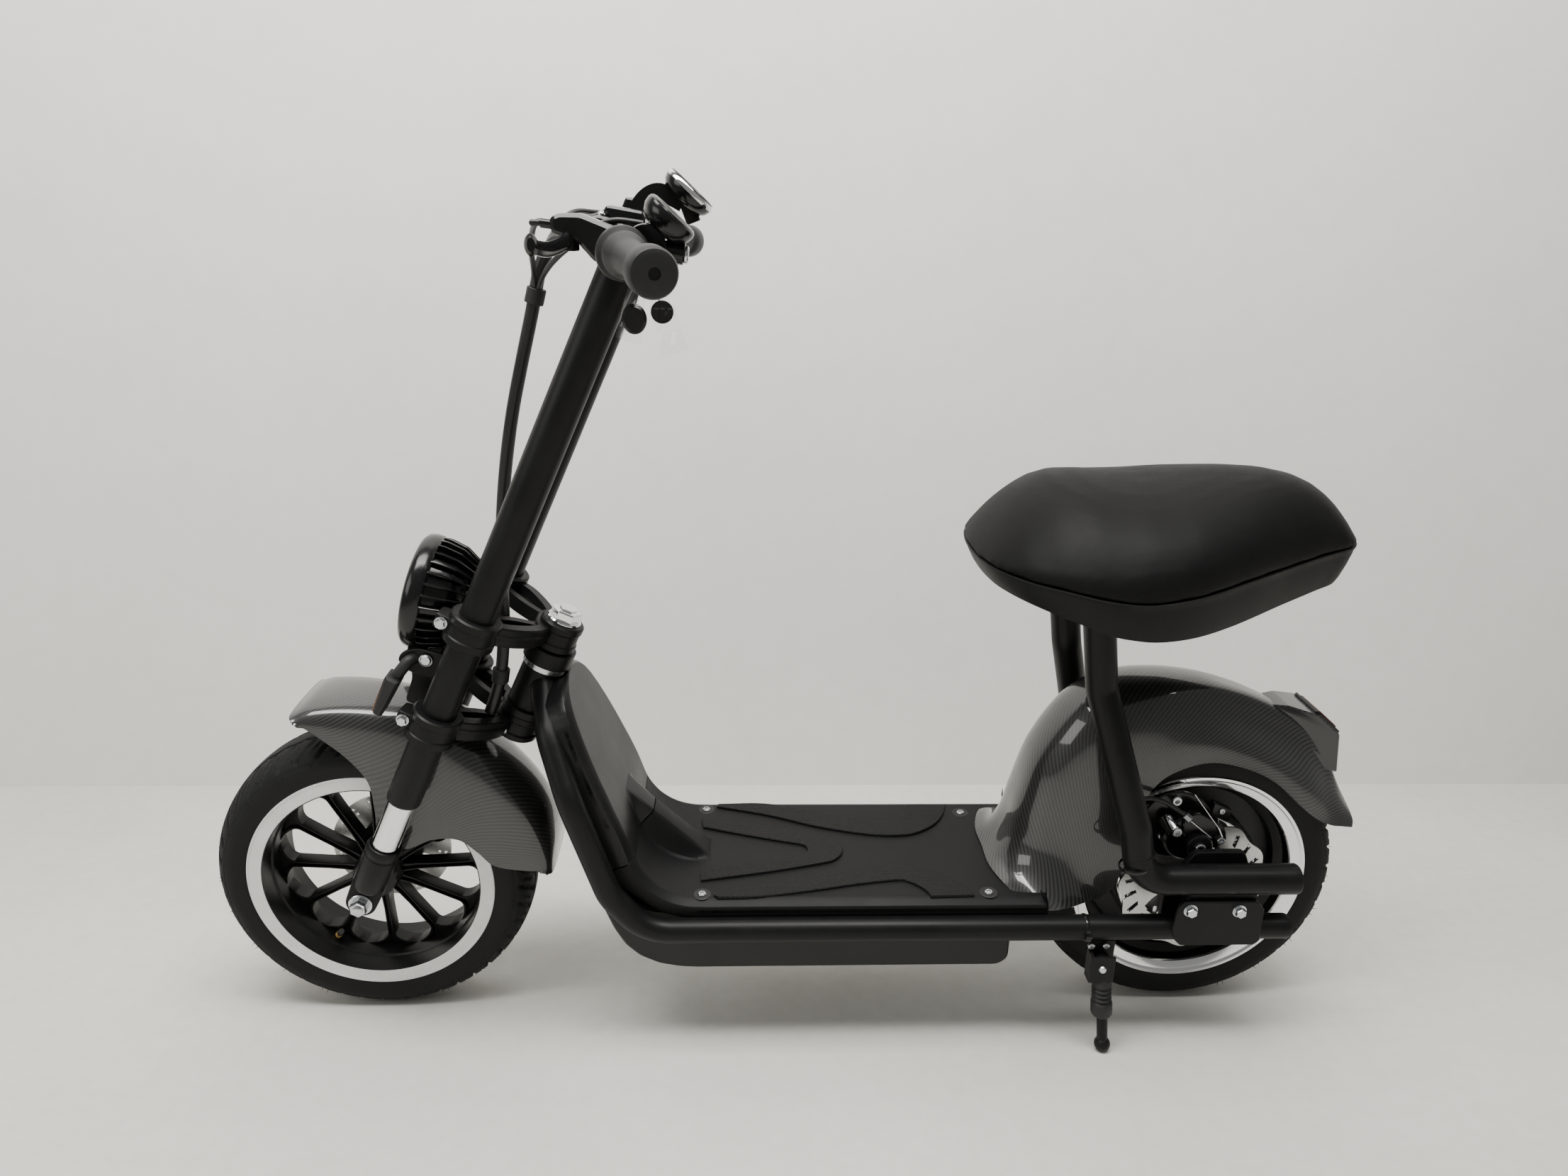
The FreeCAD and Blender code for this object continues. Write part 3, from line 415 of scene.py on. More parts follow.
feed(out, {"Warp": warp, "Crest": crest, "Height": sums(twill, "POWER", crest, 0.6)})


# %% One finish from its values
def finish(name, tone, dusty, smooth, rough, grain_scale=900.0, grain_depth=0.05, cloud_scale=18.0,
           **sockets):
    """A Principled material: handling feeds Base Color and Roughness, grain feeds Bump. grain_depth is in
    millimetres. The other sockets are constants set on the shader itself."""
    material, tree, shader, where = principled(name)
    worn = add(tree, "ShaderNodeGroup",
               {"Vector": where["Object"], "Scale": cloud_scale, "Tone": (*tone, 1),
                "Dusty tone": (*dusty, 1), "Smooth": smooth, "Rough": rough}, node_tree=handling)
    bumps = add(tree, "ShaderNodeGroup", {"Vector": where["Object"], "Scale": grain_scale}, node_tree=grain)
    bump = add(tree, "ShaderNodeBump", {"Height": bumps.outputs[0], "Distance": grain_depth / 1000,
                                        "Strength": 1.0})
    feed(shader, {"Base Color": worn.outputs["Color"], "Roughness": worn.outputs["Roughness"],
                  "Normal": bump.outputs[0]})
    constants(shader, sockets)
    return material


def grey(value):
    """A neutral tone with the faint coolness of shop light."""
    return (value, value, value * 1.03)


# %% The plain finishes
satin_paint = finish("satin_black_paint", grey(0.005), grey(0.008), 0.34, 0.44, 1400, 0.02,
                     Specular_IOR_Level=0.16)
rim_paint = finish("rim_black_paint", grey(0.005), grey(0.008), 0.32, 0.44, 1200, 0.02,
                   Specular_IOR_Level=0.25)
gloss_black = finish("gloss_black", grey(0.004), grey(0.007), 0.13, 0.24, 700, 0.01,
                     Specular_IOR_Level=0.35)
deck_plastic = finish("grained_black_plastic", grey(0.007), grey(0.010), 0.42, 0.54, 1500, 0.05,
                      Specular_IOR_Level=0.13)
shield_plastic = finish("smooth_black_plastic", grey(0.007), grey(0.010), 0.28, 0.38, 1500, 0.02,
                        Specular_IOR_Level=0.22)
pad_rubber = finish("pad_rubber", grey(0.007), grey(0.010), 0.46, 0.60, 1100, 0.06, Specular_IOR_Level=0.16)
tyre_rubber = finish("tyre_rubber", grey(0.006), grey(0.011), 0.55, 0.72, 1000, 0.06, 30.0,
                     Specular_IOR_Level=0.16)
soft_rubber = finish("soft_rubber", grey(0.009), grey(0.016), 0.48, 0.64, 1300, 0.05,
                     Specular_IOR_Level=0.35)
cable_skin = finish("cable_skin", grey(0.007), grey(0.012), 0.30, 0.44, 900, 0.02, Specular_IOR_Level=0.4)
seat_vinyl = finish("seat_vinyl", grey(0.004), grey(0.006), 0.48, 0.60, 1500, 0.07, 9.0,
                    Specular_IOR_Level=0.10)
zinc = finish("zinc_plate", (0.62, 0.64, 0.66), (0.50, 0.51, 0.52), 0.18, 0.34, 900, 0.02, Metallic=1.0)
chrome = finish("chrome", (0.86, 0.86, 0.87), (0.76, 0.76, 0.77), 0.05, 0.12, 500, 0.004, Metallic=1.0)
white_lip = finish("brushed_white_lip", (0.74, 0.74, 0.735), (0.62, 0.62, 0.61), 0.24, 0.36, 900, 0.02,
                   26.0, Metallic=0.15)
disc_steel = finish("disc_steel", (0.52, 0.52, 0.52), (0.42, 0.42, 0.41), 0.24, 0.40, 1500, 0.03,
                    Metallic=1.0)
brass = finish("brass", (0.62, 0.42, 0.14), (0.45, 0.30, 0.12), 0.25, 0.40, 900, 0.02, Metallic=1.0)
amber = finish("smoked_amber", (0.10, 0.030, 0.006), (0.08, 0.025, 0.008), 0.08, 0.16, 400, 0.01,
               Coat_Weight=0.8)
ruby = finish("smoked_red", (0.085, 0.006, 0.006), (0.07, 0.008, 0.008), 0.08, 0.16, 400, 0.01,
              Coat_Weight=0.8)
print(len(bpy.data.materials), "materials so far")


# %% [markdown]
# The carbon film is dark fibre under a clear coat. The two directions of fibre reflect differently, so
# warp and weft get different greys, and each bundle fades towards its edges. The glossy version has a
# smooth coat over it all: the weave shows, but the highlight on top stays sharp.

# %% Carbon film, glossy and matt
def carbon_film(name, bundle, bright, dull, roughness, depth, **sockets):
    """Twill on the surface's own UV map, in metres; bright and dull are the greys of the two directions."""
    material, tree, shader, where = principled(name)
    cloth = add(tree, "ShaderNodeGroup", {"Vector": where["UV"], "Bundle": bundle}, node_tree=twill)
    level = sums(tree, "MULTIPLY_ADD", cloth.outputs["Warp"], bright - dull, dull)
    shade = sums(tree, "MULTIPLY_ADD", sums(tree, "MULTIPLY", level, cloth.outputs["Crest"]), 0.85, 0.004)
    colour = add(tree, "ShaderNodeCombineColor", {"Red": shade, "Green": shade, "Blue": shade})
    patches = add(tree, "ShaderNodeGroup", {"Vector": where["Object"]}, node_tree=handling)
    dull_spots = sums(tree, "MULTIPLY_ADD", patches.outputs["Mask"], 0.10, roughness)
    bump = add(tree, "ShaderNodeBump", {"Height": cloth.outputs["Height"], "Distance": depth / 1000})
    feed(shader, {"Base Color": colour.outputs[0], "Roughness": dull_spots, "Normal": bump.outputs[0]})
    constants(shader, sockets)
    return material


carbon_gloss = carbon_film("carbon_film_gloss", 0.0015, 0.045, 0.005, 0.30, 0.02, Coat_Weight=1.0,
                           Coat_Roughness=0.05, Specular_IOR_Level=0.3)
carbon_matt = carbon_film("carbon_film_matt", 0.0016, 0.022, 0.006, 0.44, 0.08, Specular_IOR_Level=0.35)

# %% [markdown]
# Glass and clear film transmit all light. Only their roughness varies, hazed a little by handling.

# %% Clear materials
def clear(name, colour, ior, clean, hazy):
    """Plain transmission; roughness from clean to hazy by the handling mask."""
    material, tree, shader, where = principled(name)
    smear = add(tree, "ShaderNodeGroup", {"Vector": where["Object"]}, node_tree=handling)
    haze = add(tree, "ShaderNodeMapRange",
               {"Value": smear.outputs["Mask"], "To Min": clean, "To Max": hazy})
    feed(shader, {"Roughness": haze.outputs[0], "Base Color": (*colour, 1), "Transmission Weight": 1.0,
                  "IOR": ior})
    return material


lamp_glass = clear("lamp_glass", (0.92, 0.94, 0.96), 1.46, 0.01, 0.06)
clear_film = clear("clear_film", (0.96, 0.96, 0.96), 1.3, 0.03, 0.12)

# %% [markdown]
# The deck's pads are moulded with rows of small dashes. A brick pattern in the plane of the deck gives them:
# its bricks stand up from the joints as bump, on top of the rubber's own grain.

# %% Dashes on the pads
tree = pad_rubber.node_tree
shader = tree.nodes["Principled BSDF"]
grained = shader.inputs["Normal"].links[0].from_socket
dashes = add(tree, "ShaderNodeTexBrick", {"Vector": add(tree, "ShaderNodeTexCoord").outputs["Object"],
                                          "Scale": 1.0, "Brick Width": 0.0056, "Row Height": 0.0034,
                                          "Mortar Size": 0.0008, "Mortar Smooth": 0.4})
bump = add(tree, "ShaderNodeBump", {"Height": dashes.outputs["Fac"], "Normal": grained, "Distance": 0.0010,
                                    "Strength": 1.0}, invert=True)
feed(shader, {"Normal": bump.outputs["Normal"]})

# %% [markdown]
# ## Camera, floor and light
# The photograph was taken from the scooter's left, a little above the saddle, with a wide phone lens.
# The camera's place and turn were fitted once to the two wheels, the fork and the deck, and are kept as
# plain numbers: heading, pitch and roll, and the lens from its focal length in pixels of the 2212 pixel
# wide frame.

# %% Camera
IMAGE_WIDTH = 2212
FOCAL_PIXELS = 1477.7
HEADING, PITCH, ROLL = 0.046, 0.2229, 0.0169
level = np.array([-math.sin(HEADING), -math.cos(HEADING), 0])
right = np.cross(level, Z)
ahead = math.cos(PITCH) * level - math.sin(PITCH) * Z
above = math.sin(PITCH) * level + math.cos(PITCH) * Z
rolled = math.cos(ROLL) * right + math.sin(ROLL) * above
right, above = rolled, math.cos(ROLL) * above - math.sin(ROLL) * right
lens = bpy.data.cameras.new("camera")
lens.sensor_width = 36
lens.lens = lens.sensor_width * FOCAL_PIXELS / IMAGE_WIDTH
camera = shown("camera", lens)
seat = AXLES.mean(0) + (0.0605, 1.1525, 0.5959)
turn = np.eye(4)
turn[:3] = np.column_stack([right, above, -ahead, seat])
camera.matrix_world = Matrix(turn.tolist())
bpy.context.scene.camera = camera
print("lens", round(lens.lens, 2), "mm at", np.round(seat, 3))

# %% [markdown]
# The room is reduced to what lights the scooter: a pale floor and an off-white wall a step behind it, an
# even grey surround, a wide ceiling light, a long one that washes the wall and a weak one to the front.
# Large area lights give the soft shadows and the long soft highlights along the tubes, and the wall shows
# up in the glossy parts.

# %% Floor and lights
WALL_Y = AXLES[:, 1].mean() - 0.635


def sheet_of_room(name, corners, material):
    """One flat rectangle of the room, kept out of the part."""
    mesh = bpy.data.meshes.new(name)
    mesh.from_pydata(corners, [], [(0, 1, 2, 3)])
    mesh.materials.append(material)
    shown(name, mesh)


SPAN = 5.0
sheet_of_room("floor", [(-SPAN, WALL_Y - 1, 0), (SPAN, WALL_Y - 1, 0), (SPAN, SPAN, 0), (-SPAN, SPAN, 0)],
              finish("pale_floor", (0.62, 0.62, 0.58), (0.54, 0.53, 0.49), 0.45, 0.70, 60, 0.3, 2.2))
sheet_of_room("wall", [(SPAN, WALL_Y, -0.1), (-SPAN, WALL_Y, -0.1), (-SPAN, WALL_Y, 3), (SPAN, WALL_Y, 3)],
              finish("off_white_wall", (0.74, 0.735, 0.71), (0.68, 0.67, 0.64), 0.6, 0.8, 40, 0.2, 1.3))

# %% [markdown]
# The wall stands between the scooter and a camera on the other side. So its back is see-through: the shader
# is mixed with a transparent one by Backfacing, and light on the scooter's side meets the wall as before.

# %% A wall that only has a front
tree = bpy.data.materials["off_white_wall"].node_tree
show = add(tree, "ShaderNodeMixShader", {0: add(tree, "ShaderNodeNewGeometry").outputs["Backfacing"],
                                         1: tree.nodes["Principled BSDF"].outputs["BSDF"],
                                         2: add(tree, "ShaderNodeBsdfTransparent").outputs["BSDF"]})
feed(tree.nodes["Material Output"], {"Surface": show.outputs["Shader"]})

# %% Surround and lamps
world = bpy.data.worlds.new("room")
world.use_nodes = True
feed(world.node_tree.nodes["Background"], {"Color": (0.62, 0.62, 0.60, 1), "Strength": 0.42})
bpy.context.scene.world = world


def area_light(name, at, target, wide, deep, power):
    """A rectangular lamp at a point, facing the target."""
    lamp = bpy.data.lights.new(name, "AREA")
    lamp.shape, lamp.size, lamp.size_y, lamp.energy = "RECTANGLE", wide, deep, power
    lamp.color = (1.0, 0.985, 0.96)
    away = np.array(at, float) - target
    away /= np.linalg.norm(away)
    side = np.cross(Y if abs(away[1]) < 0.95 else Z, away)
    side /= np.linalg.norm(side)
    matrix = np.eye(4)
    matrix[:3] = np.column_stack([side, np.cross(away, side), away, at])
    shown(name, lamp).matrix_world = Matrix(matrix.tolist())


area_light("ceiling_light", (0.3, 0.5, 2.6), (0, 0, 0.3), 2.4, 0.9, 105)
area_light("wall_light", (-0.2, 0.9, 2.7), (0, WALL_Y, 0.9), 3.2, 0.5, 45)
area_light("front_light", (2.6, 1.4, 1.6), (0, 0, 0.4), 1.2, 1.6, 22)

# %% [markdown]
# ## Tyres
# Both tyres are tubeless 14 inch scooter tyres, 90 mm wide. A tyre could be a torus with a tread texture,
# but its tread shows at the silhouette, so the grooves are cut into the surface itself: the section is
# turned about the axle, and the radius drops wherever a groove pattern runs. Along the circumference a,
# and across the tread s, a slanted groove is a stripe in a + k|s|; the two halves are offset by half a
# pitch. Two zigzag grooves run round beside the middle. New tyres also keep the thin rubber hairs of
# their mould's vents, which the photograph shows against the floor.

# %% Tyre surface with grooves and hairs
TYRE_HALF = [(180, 0), (179.6, 9), (178.2, 18), (175.4, 27), (170.8, 35.6), (164.5, 41.8), (156, 44.6),
             (148, 44.4), (141, 43.2), (137, 41.4), (133, 37), (129, 30)]


def tyre_surface(hub, pitches, across=120, around=640):
    """The tyre's closed section turned about the axle. Depth = 3 mm in the slanted and zigzag grooves."""
    half = np.array(TYRE_HALF)
    section = smooth(np.concatenate([half[::-1] * (1, -1), half[1:]]), across)
    arc = np.concatenate([[0], np.cumsum(np.linalg.norm(np.diff(section, axis=0), axis=1))])
    s = (arc - arc[-1] / 2)[:, None]
    a = np.linspace(0, 2 * np.pi * WHEEL, around, endpoint=False)[None, :]
    pitch = 2 * np.pi * WHEEL / pitches
    reach = np.abs(s)
    phase = np.mod((a + 0.75 * reach + np.where(s < 0, pitch / 2, 0)) / pitch, 1)
    slanted = np.clip(2.6 - np.abs(phase - 0.5) * pitch * 0.8, 0, 1) * np.clip((reach - 15) / 2, 0, 1)
    slanted = slanted * np.clip((46 - reach) / 6, 0, 1)
    sipe = np.clip(1.5 - np.abs(np.mod(phase + 0.5, 1) - 0.5) * pitch * 0.8, 0,
                   1) * np.clip((reach - 22) / 2, 0, 1)
    sipe = sipe * np.clip((38 - reach) / 3, 0, 1) * 0.6
    wander = 10 + 2.5 * np.abs(np.mod(2 * a / pitch, 2) - 1)
    zigzag = np.clip(2.2 - np.abs(reach - wander), 0, 1)
    shoulder = np.clip(1.6 - np.abs(reach - 49), 0, 1) * 0.35
    ridge = 0.12 * np.sin(reach * 1.9) * np.clip((reach - 58) / 3, 0, 1)
    depth = 2.8 * np.maximum.reduce([slanted, sipe, zigzag, shoulder + 0 * a]) - 0.5 * ridge
    rings = np.stack([section[:, :1] - depth, section[:, 1:] * (1 - 0.012 * depth)], 2)
    angle = a / WHEEL
    points = np.stack([rings[..., 0] * np.cos(angle), rings[..., 0] * np.sin(angle),
                       rings[..., 1] + 0 * angle], 2)
    return grid(hub(points), (True, True))


def hairs(hub, count, seed):
    """Thin three-sided spikes in rows round both shoulders: a base triangle and a tip for each."""
    draw = np.random.default_rng(seed)
    angle = np.repeat(np.linspace(0, 2 * np.pi, count // 2, endpoint=False), 2) + draw.normal(0, 0.004,
            count)
    angle += np.tile([0, 0.045], count // 2)
    side = np.where(np.arange(count) % 4 < 2, 1, -1)
    radius = np.where(np.arange(count) % 8 < 4, 169.5, 160.0)
    level = np.where(radius > 165, 36.8, 43.6) * side
    length = draw.uniform(2.5, 5.5, count)
    out = np.stack([radius, radius, level], 1)
    ring = np.stack([np.cos(angle), np.sin(angle), np.ones(count)], 1)
    root = out * ring
    lift = np.stack([np.cos(angle) * 0.75, np.sin(angle) * 0.75, 0.6 * side], 1) + draw.normal(0, 0.22,
            (count, 3))
    tip = root + lift * length[:, None]
    around = np.stack([-np.sin(angle), np.cos(angle), 0 * angle], 1)
    corners = [root + 0.55 * around, root - 0.55 * around, root + (0, 0, 0.8) * side[:, None] - lift * 0.6,
               tip]
    points = np.stack(corners, 1)
    kept = placed(hub(tip))[:, 2] > 0.012
    points = points[kept]
    base = 4 * np.arange(len(points))[:, None, None]
    faces = (base + np.array([(0, 1, 3), (1, 2, 3), (2, 0, 3), (0, 2, 1)])).reshape(-1, 3)
    return hub(points).reshape(-1, 3), faces.tolist(), np.zeros((faces.size, 2))


for end, hub, pitches, seed in (("front", front_hub, 44, 3), ("rear", rear_hub, 40, 5)):
    piece(end + "_tyre_tread", tyre_surface(hub, pitches), tyre_rubber, end + "_wheel",
          [end + "_tyre"], crisp=50)
    piece(end + "_tyre_hairs", hairs(hub, 176, seed), tyre_rubber, end + "_wheel")
print("tyre faces", len(made["front_tyre_tread"].data.polygons))

# %% [markdown]
# ## Front rim
# The cast front rim has a flat machined lip in satin silver, a deep black barrel with a step, and twelve
# thin spokes that flare where they meet it, so that every window has round outer corners. The lip and
# barrel are turned profiles. One spoke is a strip along the radius r: its half width stays near 4 mm, then
# grows along a quarter ellipse until neighbours touch, and its section is a shallow channel. The same
# strip stands at every thirtieth degree.

# %% Front rim
def both_sides(profile):
    """The profile and its mirror image in the wheel's middle plane, as one closed loop."""
    profile = [tuple(point) for point in profile]
    return profile + [(radius, -level) for radius, level in reversed(profile)]


def ring_pair(profile, hub, around=128):
    """A closed profile and its mirror image in the wheel's middle plane, both turned."""
    return joined(*[ring([(radius, way * level) for radius, level in profile], hub, around)
                    for way in (1, -1)])


def lip_ring(inner, outer=139.2, face=42.6):
    """The lip's profile on one side: a flat face with a rolled outer edge."""
    return [(outer, face - 5), (outer, face - 0.8), (outer - 0.8, face + 0.5), (outer - 2.2, face + 0.7),
            (outer - 3.4, face), (inner + 0.8, face), (inner, face - 0.8), (inner, face - 5)]


SPOKES = 12
WINDOW = (99.0, 114.0)


def spoke(angle):
    """A strip from the hub to the barrel: width by a quarter ellipse, section a channel 17 mm deep."""
    r = np.concatenate([np.linspace(22, WINDOW[0], 9), np.linspace(*WINDOW, 14)[1:], [117, 121.5]])
    corner = np.clip((r - WINDOW[0]) / (WINDOW[1] - WINDOW[0]), 0, 1)
    full = r * math.tan(math.pi / SPOKES) + 0.3
    thin = np.interp(r, [22, 60, 99, 122], [5.4, 3.6, 4.0, 4.4])
    width = thin + (full - thin) * (1 - np.sqrt(1 - corner ** 2))
    lift = np.interp(r, [22, 40, 90, 122], [8, 4, 0, -3])
    section = np.array([(-1, -9), (1, -9), (1, 7.4), (0.86, 8.4), (0.56, 8.4), (0.44, 4.2), (-0.44, 4.2),
                        (-0.56, 8.4), (-0.86, 8.4), (-1, 7.4)])
    t = section[None, :, 0] * width[:, None]
    h = section[None, :, 1] + lift[:, None]
    c, s = math.cos(angle), math.sin(angle)
    points = np.stack([r[:, None] * c - t * s, r[:, None] * s + t * c, h - 3], 2)
    return grid(front_hub(points), (False, True), True)


piece("front_rim_lips", ring_pair(lip_ring(122.2), front_hub), white_lip, "front_wheel",
      crisp=25)
barrel_inside = [(120.5, -42), (120.2, -24), (118.6, -22), (117.6, -8), (117.6, 2), (119.0, 17),
                 (121.0, 19), (121.6, 42.2)]
barrel = [(138.5, 37.6), (126.5, 37.6), (126.5, -37.6), (138.5, -37.6),
          (138.5, -42)] + barrel_inside + [(138.5, 42.2)]
hub_core = ring([(27, -34), (27, 20), (24, 24), (24, 34), (6.4, 34), (6.4, -34)], front_hub, 48)
flange = ring([(38, -33.6), (38, -27), (27, -24), (10, -24), (10, -33.6)], front_hub, 48)
piece("front_rim_casting", joined(ring(barrel, front_hub), hub_core, flange,
      *[spoke(k * 2 * math.pi / SPOKES) for k in range(SPOKES)]), rim_paint, "front_wheel",
      ["front_rim"], crisp=30)

VALVE_AT, VALVE_RADIUS = math.radians(-58), 119
valve_out = math.cos(VALVE_AT) * X + math.sin(VALVE_AT) * Z
valve_way = 0.6 * Y - 0.8 * valve_out
valve_root = FRONT_AXLE + VALVE_RADIUS * valve_out + 6 * Y
valve = [rod(valve_root + low * valve_way, valve_root + high * valve_way, radius, count)
         for low, high, radius, count in ((0, 12, 4.2, 16), (11, 22, 2.6, 16), (20, 31, 3.6, 12))]
piece("front_valve", joined(*valve[:2]), brass, "front_wheel")
piece("front_valve_cap", valve[2], soft_rubber, "front_wheel")

# %% [markdown]
# ## Rear rim and motor
# The rear wheel holds the motor. Its lip is polished in two steps and its inside is black, and the motor's
# side cover is a bright disc with black arcs held by small screws. These are turned profiles again, with
# the arcs cut from plates that follow the circle.

# %% Rear rim and motor
rear_lip = [(139.2, 37), (139.2, 42), (137.6, 43.6), (134.4, 43.4), (132.6, 41.6), (131.6, 41.2),
            (123.4, 37.2), (122.2, 35.6), (122.2, 31), (128, 31)]
piece("rear_rim_lips", ring_pair(rear_lip, rear_hub), chrome, "rear_wheel", crisp=25)
rear_barrel = both_sides([(126.5, 30.8), (121.6, 35), (120.8, 24), (112, 18), (110, 8)])
web = [(112, 7), (86, 9), (86, -9), (112, -7)]
piece("rear_rim_casting",
      joined(ring(rear_barrel, rear_hub), ring(web, rear_hub),
             ring([(87.6, 28), (84, 31), (40, 33), (38, 0), (40, -33), (84, -31), (87.6, -28)], rear_hub)),
      rim_paint, "rear_wheel", ["rear_rim"], crisp=30)
cover = [(82, 31.5), (82, 33), (80, 34), (34, 38), (33, 50), (12, 50), (8.6, 49), (8.6, 30)]
piece("rear_motor_covers", ring_pair(cover, rear_hub, 96), chrome, "rear_wheel", crisp=25)


def arc_plate(inner, outer, start, sweep, low, high, hub, count=24):
    """A plate between two radii over part of the circle."""
    angle = np.radians(start + np.linspace(0, sweep, count))
    edge = np.stack([np.cos(angle), np.sin(angle)], 1)
    outline = rounded(np.concatenate([edge * outer, edge[::-1] * inner]), 0.3 * (outer - inner) / count, 2)
    return plate(outline, low, high, hub, 0.6)


ARC_STARTS, SCREW_RADIUS = range(8, 368, 60), 70.5
arcs = [arc_plate(62, 79, start, 38, 33.5, 38.5, rear_hub) for start in ARC_STARTS]
screw_angles = np.radians([start + further for start in ARC_STARTS for further in (6, 32)])
screws = [bolt(rear_hub((SCREW_RADIUS * math.cos(a), SCREW_RADIUS * math.sin(a), 38)), Y, 3.4, 3)
          for a in screw_angles]
piece("rear_motor_arcs", joined(*arcs), gloss_black, "rear_wheel")
piece("rear_motor_screws", joined(*screws), zinc, "rear_wheel")

# %% [markdown]
# ## Brake discs
# A disc is steel plate 3 mm thick. The front one is round with pairs of holes; the rear one has a wavy
# rim, so its outer radius is R + 2.4 cos(12 a). Slots and holes need real openings. Each disc is
# therefore woven from the strips that are left between its slots: an outer and an inner ring, and arms.

# %% Brake discs
def disc(hub, outer, wave, waves, band, inner, slots, low, high):
    """A ring of plate over r in [inner, outer + wave cos(waves a)] with slots: cells of the polar grid that
    fall in a slot are left out, and the plate's walls close round them."""
    around, steps = 432, 30
    angle = turns(around)
    share = np.linspace(0, 1, steps)[:, None]
    rim = outer + wave * np.cos(waves * angle)[None, :]
    r = inner + share * (rim - inner)
    a = angle + 0 * r
    mid_r = (r[:-1] + r[1:]) / 2
    mid_a = (a[:-1] + np.pi / around)
    kept = np.ones(mid_r.shape, bool)
    for first, last, number, width, twist in slots:
        inside = (mid_r > first) & (mid_r < last)
        phase = np.mod(mid_a * number / (2 * np.pi) + twist * (mid_r - first), 1)
        kept &= ~(inside & (np.abs(phase - 0.5) * 2 * np.pi / number * mid_r < width / 2))
    i, j = np.nonzero(kept)
    beside = (j + 1) % around
    top = np.stack([i * around + j, (i + 1) * around + j, (i + 1) * around + beside, i * around + beside],
                   1)
    flat = np.stack([r * np.cos(a), r * np.sin(a)], 2).reshape(-1, 2)
    count = len(flat)
    points = np.concatenate([np.column_stack([flat, np.full(count, high)]),
                             np.column_stack([flat, np.full(count, low)])])
    edges = np.concatenate([top[:, [0, 1]], top[:, [1, 2]], top[:, [2, 3]], top[:, [3, 0]]])
    codes = edges[:, 0] * count + edges[:, 1]
    back = edges[:, 1] * count + edges[:, 0]
    border = edges[~np.isin(codes, back)]
    walls = np.stack([border[:, 1], border[:, 0], border[:, 0] + count, border[:, 1] + count], 1)
    faces = np.concatenate([top, top[:, ::-1] + count, walls])
    used, renamed = np.unique(faces, return_inverse=True)
    return hub(points[used]), renamed.reshape(faces.shape).tolist(), np.zeros((faces.size, 2))


piece("front_disc_plate",
      disc(front_hub, 70, 0, 12, 18, 26,
           [(33, 50, 6, 15, 0.004), (55.5, 58.5, 18, 3.4, 0), (62.5, 65.5, 18, 3.4, 0.01)], -37, -34.2),
      disc_steel, "front_wheel", ["front_disc"], crisp=30)
piece("rear_disc_plate",
      disc(rear_hub, 85, 2.4, 12, 18, 30, [(36, 60, 6, 20, 0.006), (66, 80, 24, 5.2, 0.022)], 51.0, 53.6),
      disc_steel, "rear_wheel", ["rear_disc"], crisp=30)

# %% [markdown]
# ## Fenders
# Each fender is one moulded shell under glossy carbon film. Its section changes all the way: the rear one
# starts as a skirt spread over the footboard, narrows to a dome between the tubes, and ends as a tail with
# a ridge on each side. Such a form is drawn as boat builders do, as a table of stations. Every station is a
# half section of five points from the crown to the lower edge. Curves run through them both ways, and a
# second surface 3 mm inside, along the normals, gives the wall.

# %% A walled shell through a table of stations
def through(table, across, along):
    """Catmull-Rom curves through table[i, j]: first across each station, then along the shell."""
    table = np.asarray(table, float)
    rows = np.stack([smooth(row, across) for row in table])
    return np.stack([smooth(rows[:, k], along) for k in range(across)], 1)


def mirrored(half):
    """A table of half sections from the crown outwards, completed with its mirror image in Y."""
    half = np.asarray(half, float)
    return np.concatenate([half[:, :0:-1] * (1, -1, 1), half], 1)


def walled(points, inner):
    """Two sheets back to back, their four edges closed by strips."""
    around = grid(np.concatenate([points, inner[::-1]]), (True, False))
    rims = [grid(np.stack([points[:, k], inner[:, k]], 1)) for k in (0, -1)]
    return joined(around, *rims)


def shell(points, wall):
    """A sheet with thickness: inner = outer - wall * normal."""
    down, over = np.gradient(points, axis=0), np.gradient(points, axis=1)
    normal = np.cross(over, down)
    normal /= np.maximum(np.linalg.norm(normal, axis=2, keepdims=True), 1e-9)
    middle = points.reshape(-1, 3).mean(0)
    normal *= np.sign(np.sum(normal * (points - middle)))
    return walled(points, points - wall * normal)


